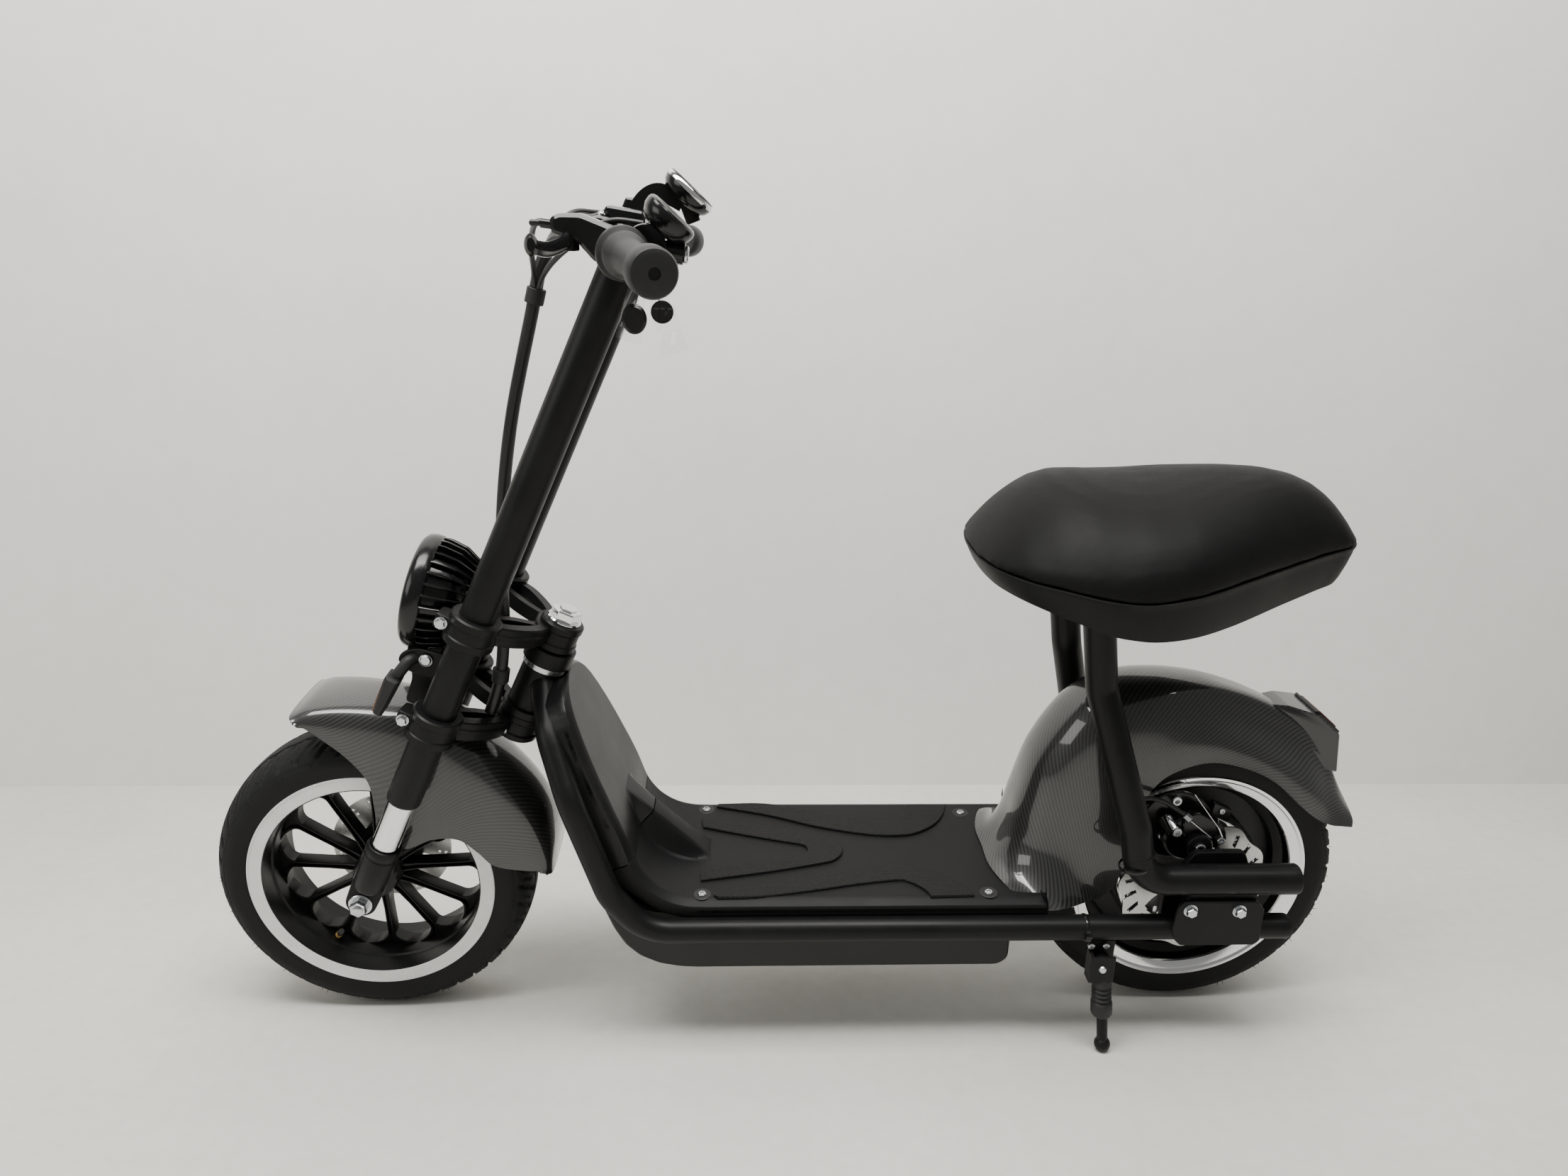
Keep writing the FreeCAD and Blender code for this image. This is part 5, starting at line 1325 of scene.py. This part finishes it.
SEAT_BASE_EDGE = [(-606, 553), (-563, 550), (-519, 543), (-465, 534), (-415, 528), (-355, 525.5),
                  (-327, 527.5), (-304, 531), (-277, 539), (-241, 548), (-208, 555), (-188, 560)]
half_plan = np.array(SEAT_HALF_PLAN, float)
plan = smooth(np.concatenate([half_plan, half_plan[-2:0:-1] * (1, -1)]), 180, closed=True)
SEAT_MIDDLE = np.array([-365.0, 0])


def along_seat(table, x):
    """A value from a table of (x, value), eased through its points."""
    places, values = smooth(table, 8 * len(table)).T
    return np.interp(x, places, values)


def seat_top(flat):
    """Height of the top over a place: the middle line less a square law towards the shoulders."""
    wide = np.interp(flat[:, 0], half_plan[::-1, 0], half_plan[::-1, 1])
    out = np.abs(flat[:, 1]) / np.maximum(0.8 * wide, 20)
    drop = along_seat(SEAT_SHOULDER_DROP, flat[:, 0])
    return along_seat(SEAT_TOP_LINE, flat[:, 0]) - drop * np.minimum(out, 1.2) ** 2


def seat_ring(share, height):
    """One ring: the outline pulled to the middle by its share, at a height that depends on the place."""
    flat = SEAT_MIDDLE + (plan - SEAT_MIDDLE) * share
    return np.column_stack([flat, height(flat)])


def seat_seam(flat):
    """The seam's height over a place."""
    return along_seat(SEAT_SEAM, flat[:, 0])


def seat_base_edge(flat):
    """Height of the base's lower edge over a place."""
    return along_seat(SEAT_BASE_EDGE, flat[:, 0])


# %% Foam pad under vinyl
SHARES = [0.0, 0.2, 0.4, 0.56, 0.68, 0.76, 0.82, 0.87, 0.91, 0.94, 0.965, 0.982, 0.994, 1.0, 1.0, 0.994,
          0.984]
LEVELS = [1.0, 1.0, 1.0, 1.0, 0.997, 0.985, 0.96, 0.92, 0.86, 0.79, 0.69, 0.57, 0.43, 0.27, 0.13, 0.04, 0.0]
rings = [seat_ring(share, lambda flat: seat_seam(flat) + level * (seat_top(flat) - seat_seam(flat)))
         for share, level in zip(SHARES, LEVELS)]
rings += [seat_ring(share, lambda flat: seat_seam(flat) + 0.1) for share in (0.7, 0.35, 0.0)]
saddle = piece("saddle_pad", grid(np.array(rings), (False, True)), seat_vinyl, "frame",
               ["seat_cushion"], crisp=80)

# %% [markdown]
# A drawn pad looks hard. The real one is foam pulled tight under vinyl, so cloth simulation swells it a
# little: the mesh is rebuilt as an even net, inflated by a small pressure while its seam is held, and no
# point may move further than 4 mm.

# %% Swell the pad
def swell(thing, hold_below, limit, voxel=0.006, pressure=1.2, frames=16):
    """Inflate a closed mesh as cloth. Points under the height hold_below(x) stay, the rest moves at most
    by the limit."""
    thing.data.remesh_voxel_size, thing.data.use_remesh_preserve_volume = voxel, True
    with bpy.context.temp_override(object=thing, active_object=thing, selected_objects=[thing]):
        bpy.ops.object.voxel_remesh()
    mesh = thing.data
    start = np.empty(3 * len(mesh.vertices), np.float32)
    mesh.vertices.foreach_get("co", start)
    start = start.reshape(-1, 3)
    held = thing.vertex_groups.new(name="held")
    held.add(np.nonzero(start[:, 2] < hold_below(start))[0].tolist(), 1.0, "REPLACE")
    cloth = thing.modifiers.new("swell", "CLOTH")
    cloth.settings.use_pressure, cloth.settings.uniform_pressure_force = True, pressure
    cloth.settings.effector_weights.gravity = 0
    cloth.settings.tension_stiffness = cloth.settings.compression_stiffness = 60
    cloth.settings.shear_stiffness, cloth.settings.bending_stiffness = 30, 8
    cloth.settings.vertex_group_mass = "held"
    cloth.point_cache.frame_start, cloth.point_cache.frame_end = 1, frames
    for number in range(1, frames + 1):
        bpy.context.scene.frame_set(number)
    swollen = thing.evaluated_get(bpy.context.evaluated_depsgraph_get()).to_mesh()
    moved = np.empty(3 * len(swollen.vertices), np.float32)
    swollen.vertices.foreach_get("co", moved)
    thing.evaluated_get(bpy.context.evaluated_depsgraph_get()).to_mesh_clear()
    thing.modifiers.remove(cloth)
    shift = moved.reshape(-1, 3) - start
    far = np.linalg.norm(shift, axis=1, keepdims=True)
    mesh.vertices.foreach_set("co", (start + shift * np.minimum(1, limit / np.maximum(far, 1e-9))).ravel())
    mesh.update()
    mesh.shade_smooth()
    bpy.context.scene.frame_set(1)
    soft = thing.modifiers.new("soft", "SUBSURF")
    soft.levels = soft.render_levels = 1
    print(thing.name, "moved up to", round(1000 * float(np.minimum(far, limit).max()), 1), "mm")


def seam_height(points):
    """The parked saddle's seam, a little raised, over points in metres."""
    x = (points[:, 0] - AXLES[:, 0].mean()) * 1000
    flat = np.column_stack([x, 0 * x])
    return placed(np.column_stack([flat, seat_seam(flat) + 7]))[:, 2] - math.sin(LEAN) * (
        points[:, 1] - placed(np.array([0, 0, 577.0]))[1])


swell(saddle, seam_height, 0.004)

# %% Saddle base
BASE_BOTTOM = 516
SIDE_STEPS = ((0.94, 0.05), (0.955, 0.2), (0.975, 0.5), (0.99, 0.8), (0.994, 0.93))
TOP_STEPS = ((1.0, 2.6), (1.001, 1.2), (0.994, 0.6), (0.5, 0.6), (0.0, 0.6))


def base_side(flat, rise):
    """A height between the base's edge and 1 mm under the seam."""
    return seat_base_edge(flat) + rise * (seat_seam(flat) - seat_base_edge(flat)) - 1.0


base = [seat_ring(0.0, lambda flat: BASE_BOTTOM + 0 * flat[:, 0]),
        seat_ring(0.6, lambda flat: 0.5 * (seat_base_edge(flat) + BASE_BOTTOM)),
        seat_ring(0.86, lambda flat: seat_base_edge(flat) - 1.5), seat_ring(0.925, seat_base_edge)]
base += [seat_ring(share, lambda flat: base_side(flat, rise)) for share, rise in SIDE_STEPS]
base += [seat_ring(share, lambda flat: seat_seam(flat) - lower) for share, lower in TOP_STEPS]
piece("saddle_base_shell", grid(np.array(base), (False, True)), deck_plastic, "frame",
      ["seat_base"], crisp=30)

# %% [markdown]
# ## Handlebar
# The bar is one bent tube, and it stays the CAD model's. On it sit the rubber grips with a collar at either
# end, the brake levers in their perches, a round switch housing and the round display, both tilted to the
# rider. Levers are swept sections that widen to a ball at the tip.

# %% Bar axis, grips and levers
BAR_TIP, BAR_ELBOW = np.array([120.0, 0, 872]), np.array([172.0, 0, 884])
BAR_HALF, GRIP_LENGTH = 290.0, 120.0
GRIP = [(4.6, 6), (4.6, 0), (14, 0), (17.2, 1.2), (18.6, 4), (18.8, 20), (17.6, 25), (14.8, 28), (14.3, 40),
        (14.3, 84), (15.4, 92), (17.8, 98), (18.6, 103), (18.6, 110), (21.6, 112), (22, 117), (21, 120),
        (11.2, 120), (11.2, 6)]
PERCH = [(150, 869), (156, 897), (188, 909), (206, 909), (213, 905), (212, 894), (192, 888), (178, 872)]
LEVER = [(198, 160, 890), (203, 178, 885), (208, 205, 883), (211, 232, 885), (211, 256, 888),
         (209, 270, 889)]


def bar_end(side):
    """The grip's axis: outer end, inward direction, and a frame (forward, up, inward) at the end."""
    outer = BAR_TIP + side * BAR_HALF * Y
    inward = BAR_ELBOW + side * 120 * Y - outer
    inward /= np.linalg.norm(inward)
    forward = np.cross(Z, inward) * side
    forward /= np.linalg.norm(forward)
    return outer, inward, forward, np.cross(inward, forward) * side


for name, side in SIDES:
    outer, inward, forward, upward = bar_end(side)
    to = frame_of(outer, forward, upward, inward)
    piece("grip_sleeve_" + name, ring(GRIP, to, 64), soft_rubber, "fork", ["grip_" + name])
    root = outer + inward * (GRIP_LENGTH + 22)
    perch = [rod(root - inward * 10, root + inward * 12, 16, 32),
             plate(rounded(PERCH, 3.5, 4), side * 146, side * 168, side_view, 3.0),
             rod((198, side * 160, 880), (198, side * 160, 897), 7.5, 24),
             rod((211, side * 158, 900), (222, side * 155, 901), 3.8, 20),
             rod((221, side * 155, 901), (231, side * 152, 901), 2.6, 16)]
    path = smooth(np.array(LEVER) * (1, side, 1), 40)
    widths = np.interp(np.linspace(0, 1, 40), [0, 0.15, 0.8, 0.93, 1.0], [1.2, 0.95, 0.9, 1.3, 0.75])
    perch.append(swept(path, oval(4.0, 6.4, 20), Z, True, widths))
    piece("brake_lever_set_" + name, joined(*perch), gloss_black, "fork",
          ["brake_lever_" + name])

# %% [markdown]
# The clamps on top of the legs are split blocks with a rounded front, and each is closed by small screws.
# Two flat black boxes stand on them.

# %% Bar clamps and boxes
clamp_parts, clamp_screws = [], []
block = rounded([(-26, -17), (-30, 4), (-22, 17), (6, 19), (24, 15), (30, 4), (28, -13), (10, -20)], 7, 5)
for side in (-1, 1):
    at = frame_of((172, side * LEG_GAP, 884), AHEAD, UP_FORK, Y)
    clamp_parts.append(plate(block, -19, 19, at, 2.0))
    top = on_fork(750, 0, side * LEG_GAP)
    clamp_parts.append(rod(top + UP_FORK * 0.2, top + UP_FORK * 12, 16.6, 40))
    for ahead in (-18, 18):
        for beside in (-11, 11):
            clamp_screws.append(bolt(at((ahead, 16.5, beside)), UP_FORK, 3.4, 3))
piece("bar_clamp_blocks", joined(*clamp_parts), gloss_black, "fork", ["bar_clamps"])
piece("bar_clamp_screws", joined(*clamp_screws), zinc, "fork")
BOXES = [([(186, 898), (179, 915), (146, 910), (144, 898), (152, 888), (180, 890)], 34, 68),
         ([(178, 907), (171, 922), (146, 917), (148, 904), (156, 890), (174, 892)], -66, -30)]
piece("bar_boxes", joined(*[plate(rounded(outline, 3, 4), low, high, side_view, 2.0)
                            for outline, low, high in BOXES]), gloss_black, "fork")

# %% [markdown]
# Display and switch housing are both shallow round cases with a glossy face that looks back and up. They
# are turned about the same tilted axis. The display stands on a flat bent bracket, and a small round
# button with a bright rim sits below the switch housing.

# %% Display and switch pods
FACE_TILT = math.radians(132)
face_way = np.array([math.cos(FACE_TILT), 0, math.sin(FACE_TILT)])
face_side = np.cross(Y, face_way)


def tilted(x, y, z):
    """A frame on the axis that both faces share."""
    return frame_of((x, y, z), face_side, Y, face_way)


face_at = tilted(108, 0, 928)
case = [(0, -12), (16, -12), (21, -10.5), (25, -6), (26.6, -1), (26.6, 2), (25.4, 4.4), (24.4, 5),
        (23, 3.6), (0, 3.6)]
piece("display_case", turned(case, face_at, 72), gloss_black, "fork", ["display"])
piece("display_ring", ring([(22.8, 3.4), (24.6, 4.8), (25.8, 3.8), (27, 1.6), (27, -0.6), (25, 0.2)],
                           face_at, 72), chrome, "fork")
piece("display_glass", turned([(0, 4.6), (19, 4.3), (22.6, 3.7), (22.6, 2.8), (0, 2.8)], face_at, 64),
      gloss_black, "fork")
arm = smooth([(164, 0, 893), (158, 0, 910), (149, 0, 922), (137, 0, 927), (124, 0, 922), (114, 0, 917)], 30)
collar_ring = [(11.2, -9), (16.5, -9), (17, -7.5), (17, 7.5), (16.5, 9), (11.2, 9)]
piece("display_arm", joined(swept(arm, np.array([(-8, -1.6), (8, -1.6), (8, 1.6), (-8, 1.6)]), Y),
                            ring(collar_ring, frame_of((172, 0, 884), X, Z, Y), 40),
                            rod((112, 0, 921), (104, 0, 900), 7, 24)), satin_paint, "fork")
pod = [(0, -11), (14, -11), (20, -8), (24, -1), (24.6, 4), (24, 6.6), (22.4, 8), (0, 8)]
pod_at = tilted(121, 124, 904)
piece("switch_pod_case", joined(turned(pod, pod_at, 64), rod((139, 112, 885), (139, 136, 885), 17, 36),
      rod((124, 124, 880), (107, 124, 877), 9, 32)), gloss_black, "fork", ["switch_pod"])
piece("switch_pod_face", ring([(18, 7.8), (20.6, 8.8), (22.4, 8.2), (22.4, 7)], pod_at, 64), gloss_black,
      "fork")
piece("switch_pod_button", rod((107.4, 124, 877), (103.6, 124, 876.6), 7.4, 32, 1.0), zinc, "fork")

# %% [markdown]
# What came with the scooter still hangs from the bar: a key fob on a wire, a blank round tag and two clear
# bags. The bags are thin bent sheets of clear film; their waves are sines over the sheet.

# %% Key fob, tag and bags
BAG_Y, FILM = 150, 0.4


def film(corners, waves, depth):
    """A sheet between four corners in side view, 0.4 mm thick, waving by depth along Y."""
    u, v = np.meshgrid(np.linspace(0, 1, 24), np.linspace(0, 1, 24), indexing="ij")
    a, b, c, d = np.array(corners, float)
    wave = depth * np.sin(waves * np.pi * (u + 0.6 * v)) * np.cos(1.7 * v * np.pi)
    u, v = u[..., None], v[..., None]
    flat = (1 - u) * ((1 - v) * a + v * b) + u * ((1 - v) * d + v * c)
    points = np.stack([flat[..., 0], BAG_Y + wave, flat[..., 1]], 2)
    return walled(points, points - FILM * Y)


fob = oval(10.6, 12.6, 48, (148.6, 825.6))
piece("key_fob", plate(fob, 147, 153, side_view, 2.4), gloss_black, "fork")
wires = [swept(smooth([(150, 146, 868), (145, 149, 852), (146, 150, 843), (148, 150, 836)], 20),
               circle(0.7, 8), Y),
         swept(smooth([(146, 146, 868), (140, 148, 855), (132, 150, 846), (126, 150, 840)], 20),
               circle(0.5, 8), Y)]
piece("key_wires", joined(*wires), soft_rubber, "fork")
piece("key_tag", rod((125, 151.2, 832), (125, 152.4, 832), 9.6, 40, 0.3), pad_rubber, "fork")
piece("key_bags", joined(film([(153, 851), (139, 847), (143, 803), (165, 811)], 2.2, 2.5),
      film([(136, 842), (115, 838), (104, 801), (126, 794)], 2.8, 3.0)), clear_film, "fork")

# %% [markdown]
# ## Cables
# Four thin hoses come from the levers, the switch housing and the display, and meet in one bundle. It
# hangs forward in a bow and dives between the fork legs: a smooth spline with the route's points as its
# control points, tied with a strap near the bend and another near the lower clamp.

# %% The cable bundle
ROUTE = [(196, 34, 884), (224, 32, 890), (246, 28, 866), (256, 26, 822), (270, 24, 772), (284, 23, 718),
         (295, 22, 660), (303, 20, 600), (307, 18, 540), (308, 20, 489), (312, 23, 449), (317, 26, 421.5),
         (328.3, 28, 391.9)]


def spline(name, points, radius, material):
    """A round cord on a NURBS spline of order 3 through its end points, as a curve object. Its bow lies
    inside the control points, which makes it about 2% shorter than the line through them."""
    curve = bpy.data.curves.new(name, "CURVE")
    curve.dimensions, curve.bevel_depth, curve.bevel_resolution, curve.use_fill_caps = "3D", radius, 6, True
    line = curve.splines.new("NURBS")
    line.points.add(len(points) - 1)
    line.points.foreach_set("co", np.column_stack([points, np.ones(len(points))]).ravel())
    line.order_u = 3
    line.use_endpoint_u = True
    line.resolution_u = 12
    curve.materials.append(material)
    return shown(name, curve)


CABLE_RADIUS, SPLINE_SHARE = 0.0065, 0.98
route = placed(ROUTE)
cable = spline("cable_bundle_main", route, CABLE_RADIUS, cable_skin)
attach(cable, "fork")
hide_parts("cable_bundle")
HOSES = [((212, 158, 901), (232, 120, 900), (246, 72, 880), (251, 40, 856), (253, 30, 838)),
         ((214, -158, 905), (236, -112, 905), (248, -50, 884), (251, 4, 858), (253, 22, 838)),
         ((143, 110, 901), (166, 110, 903), (184, 108, 898), (204, 92, 884), (226, 66, 868), (242, 42, 852),
          (250, 31, 838)), ((130, 0, 905), (168, -6, 908), (204, 4, 902), (232, 16, 880), (246, 22, 856),
                            (256, 24, 838))]
hoses = [swept(smooth(line, 40), circle(2.6, 12), X if abs(line[0][1]) > 150 else Z) for line in HOSES]
piece("handlebar_cables", joined(*hoses), cable_skin, "fork")
band = [(6.2, -7.5), (8.6, -7.5), (9.2, -6.9), (9.2, 6.9), (8.6, 7.5), (6.2, 7.5)]
STRAPS = (((253.5, 26, 832), (-14, 1.5, 50)), ((314.6, 24.4, 435), (-0.16, -0.1, 0.98)))
straps = [ring(band, frame_of(at, np.cross(Y, way), Y, way), 40) for at, way in STRAPS]
strap_piece = piece("cable_straps", joined(*straps), soft_rubber, "fork")

# %% [markdown]
# ## Brake calipers
# The rear caliper is a round cast body on a black plate, with a lever, bright bolts and the bare end of
# its cable. The front one is smaller and sits behind the right slider.

# %% Calipers
backing = rounded([(-399, 240), (-402, 284), (-420, 304), (-446, 308), (-470, 296), (-494, 268),
                   (-498, 236), (-470, 221), (-430, 220)], 14, 6)
arm = rounded([(-442, 262), (-440, 284), (-456, 292), (-490, 272), (-494, 252), (-482, 246)], 6, 4)
caliper = [plate(backing, 50, 56, side_view, 1.5), rod((-452, 56, 256), (-452, 72, 256), 29, 48, 2.5),
           rod((-460, 72, 252), (-460, 84, 252), 15, 40, 1.5), plate(arm, 72, 76, side_view, 1.0),
           rod((-426, 58, 276), (-433, 74, 266), 8.5, 28), rod((-478, 58, 246), (-483, 74, 238), 8.5, 28),
           rod((-452, 44.5, 262), (-452, 50.6, 262), 14, 30),
           plate(rounded([(-481, 294), (-504, 283), (-501, 267), (-479, 278)], 2, 3), 48, 58, side_view,
                 1.0)]
piece("rear_caliper_body", joined(*caliper), gloss_black, "frame", ["rear_caliper"])
bright = [bolt((-431, 66, 304), Y, 5.6, 6), rod((-427, 62, 278), (-432, 76, 270), 5.2, 24),
          bolt((-434, 75, 268), Y, 5.6, 4), bolt((-427.5, 56, 250), Y, 4.6, 3),
          bolt((-459.7, 82, 252), Y, 5.8, 5), bolt((-471.7, 56, 227), Y, 4.4, 4),
          bolt((-485.4, 76, 257), Y, 4.6, 4), rod((-478, 62, 245), (-483, 76, 239), 5.2, 24),
          bolt((-484, 75, 237), Y, 5.6, 4), bolt((-491, 58, 283), Y, 3.6, 2),
          rod((-441, 74, 288), (-446.5, 78, 284), 4.6, 6, 0.5),
          rod((-447, 78, 283), (-473.7, 78, 261), 0.9, 10, 0.2),
          rod((-446, 78, 317), (-479.7, 79, 274), 0.7, 10, 0.2),
          rod((-479.7, 79, 274), (-485, 80, 263), 1.1, 10, 0.3)]
piece("rear_caliper_bolts", joined(*bright), zinc, "frame")
brake_cable = smooth([(-372, 84, 300), (-385.7, 80, 310.6), (-398, 76, 311), (-412, 75, 307),
                      (-424, 74, 300), (-440, 74, 289.4)], 36)
piece("rear_brake_cable", swept(brake_cable, circle(2.6, 14), Y), cable_skin, "frame")
front_plate = rounded([(-50, 34), (-58, 48), (-44, 62), (-4, 62), (-6, 40)], 6, 4)
front_caliper = [plate(front_plate, -60, -52, fork_side, 1.2),
                 rod(on_fork(48, -40, -38.6), on_fork(48, -40, -60), 17, 32),
                 rod(on_fork(48, -40, -24), on_fork(48, -40, -32.6), 17, 32),
                 rod(on_fork(74, -38, -32), on_fork(74, -38, -52), 6, 20)]
piece("front_caliper_body", joined(*front_caliper), gloss_black, "fork", ["front_caliper"])

# %% [markdown]
# ## Side stand
# The stand is a thin leg under a U-shaped bracket with a domed pin and two screws. A rubber bellows and a
# collar hide the spring. The bellows is one turned profile whose radius is a zigzag of the length.

# %% Stand, bracket and bellows
STAND, FOOT = np.array([-352.0, 122, 126]), np.array([-360.0, 138.7, 14.0])
stand_way = (FOOT - STAND) / np.linalg.norm(FOOT - STAND)
stand_at = frame_of(STAND, np.cross(Y, stand_way), Y, stand_way)
bracket = [plate(rounded([(-366, 112), (-366, 154), (-336, 154), (-336, 112)], 3, 4), 114.4, 117.8,
                 side_view, 0.8), plate(rounded([(-363, 108), (-363, 143), (-335, 143), (-335, 108)], 2, 4),
                                        130.5, 133.5, side_view, 0.8),
           plate([(-339, 108), (-339, 143), (-335.4, 143), (-335.4, 108)], 117, 131, side_view, 0.5)]
piece("stand_bracket_plate", joined(*bracket), satin_paint, "frame", ["stand_bracket"])
pins = [bolt((-337.5, 120, 149), Y, 3.8, 3.4), bolt((-354, 120, 149), Y, 3.8, 3.4)]
pins.append(turned([(0, 0), (4.6, 0), (4.4, 1.4), (3.2, 2.8), (0, 3.6)],
                   frame_of((-349, 133.4, 127), X, Z, Y), 28))
piece("stand_pins", joined(*pins), zinc, "frame")
folds = np.column_stack([8.9 + 2.2 * np.abs(2 * np.mod(np.linspace(0, 4, 33), 1) - 1),
                         np.linspace(25, 47, 33)])
bellows = np.concatenate([[(0, 13), (8.4, 13), (8.8, 14)], folds,
                          [(11.4, 47), (12, 48), (12, 60), (11, 62), (0, 62)]])
piece("stand_bellows", turned(bellows, stand_at, 40), soft_rubber, "stand")

# %% [markdown]
# ## The rest of the frame
# What stays the CAD model's own gets its paint here: the bent tubes and the handlebar in satin black, the
# stand's leg, the cross tubes and the head tube too.

# %% Paint the CAD pieces that stay
for name, node in nodes.items():
    node.data.materials.clear()
    node.data.materials.append(satin_paint)
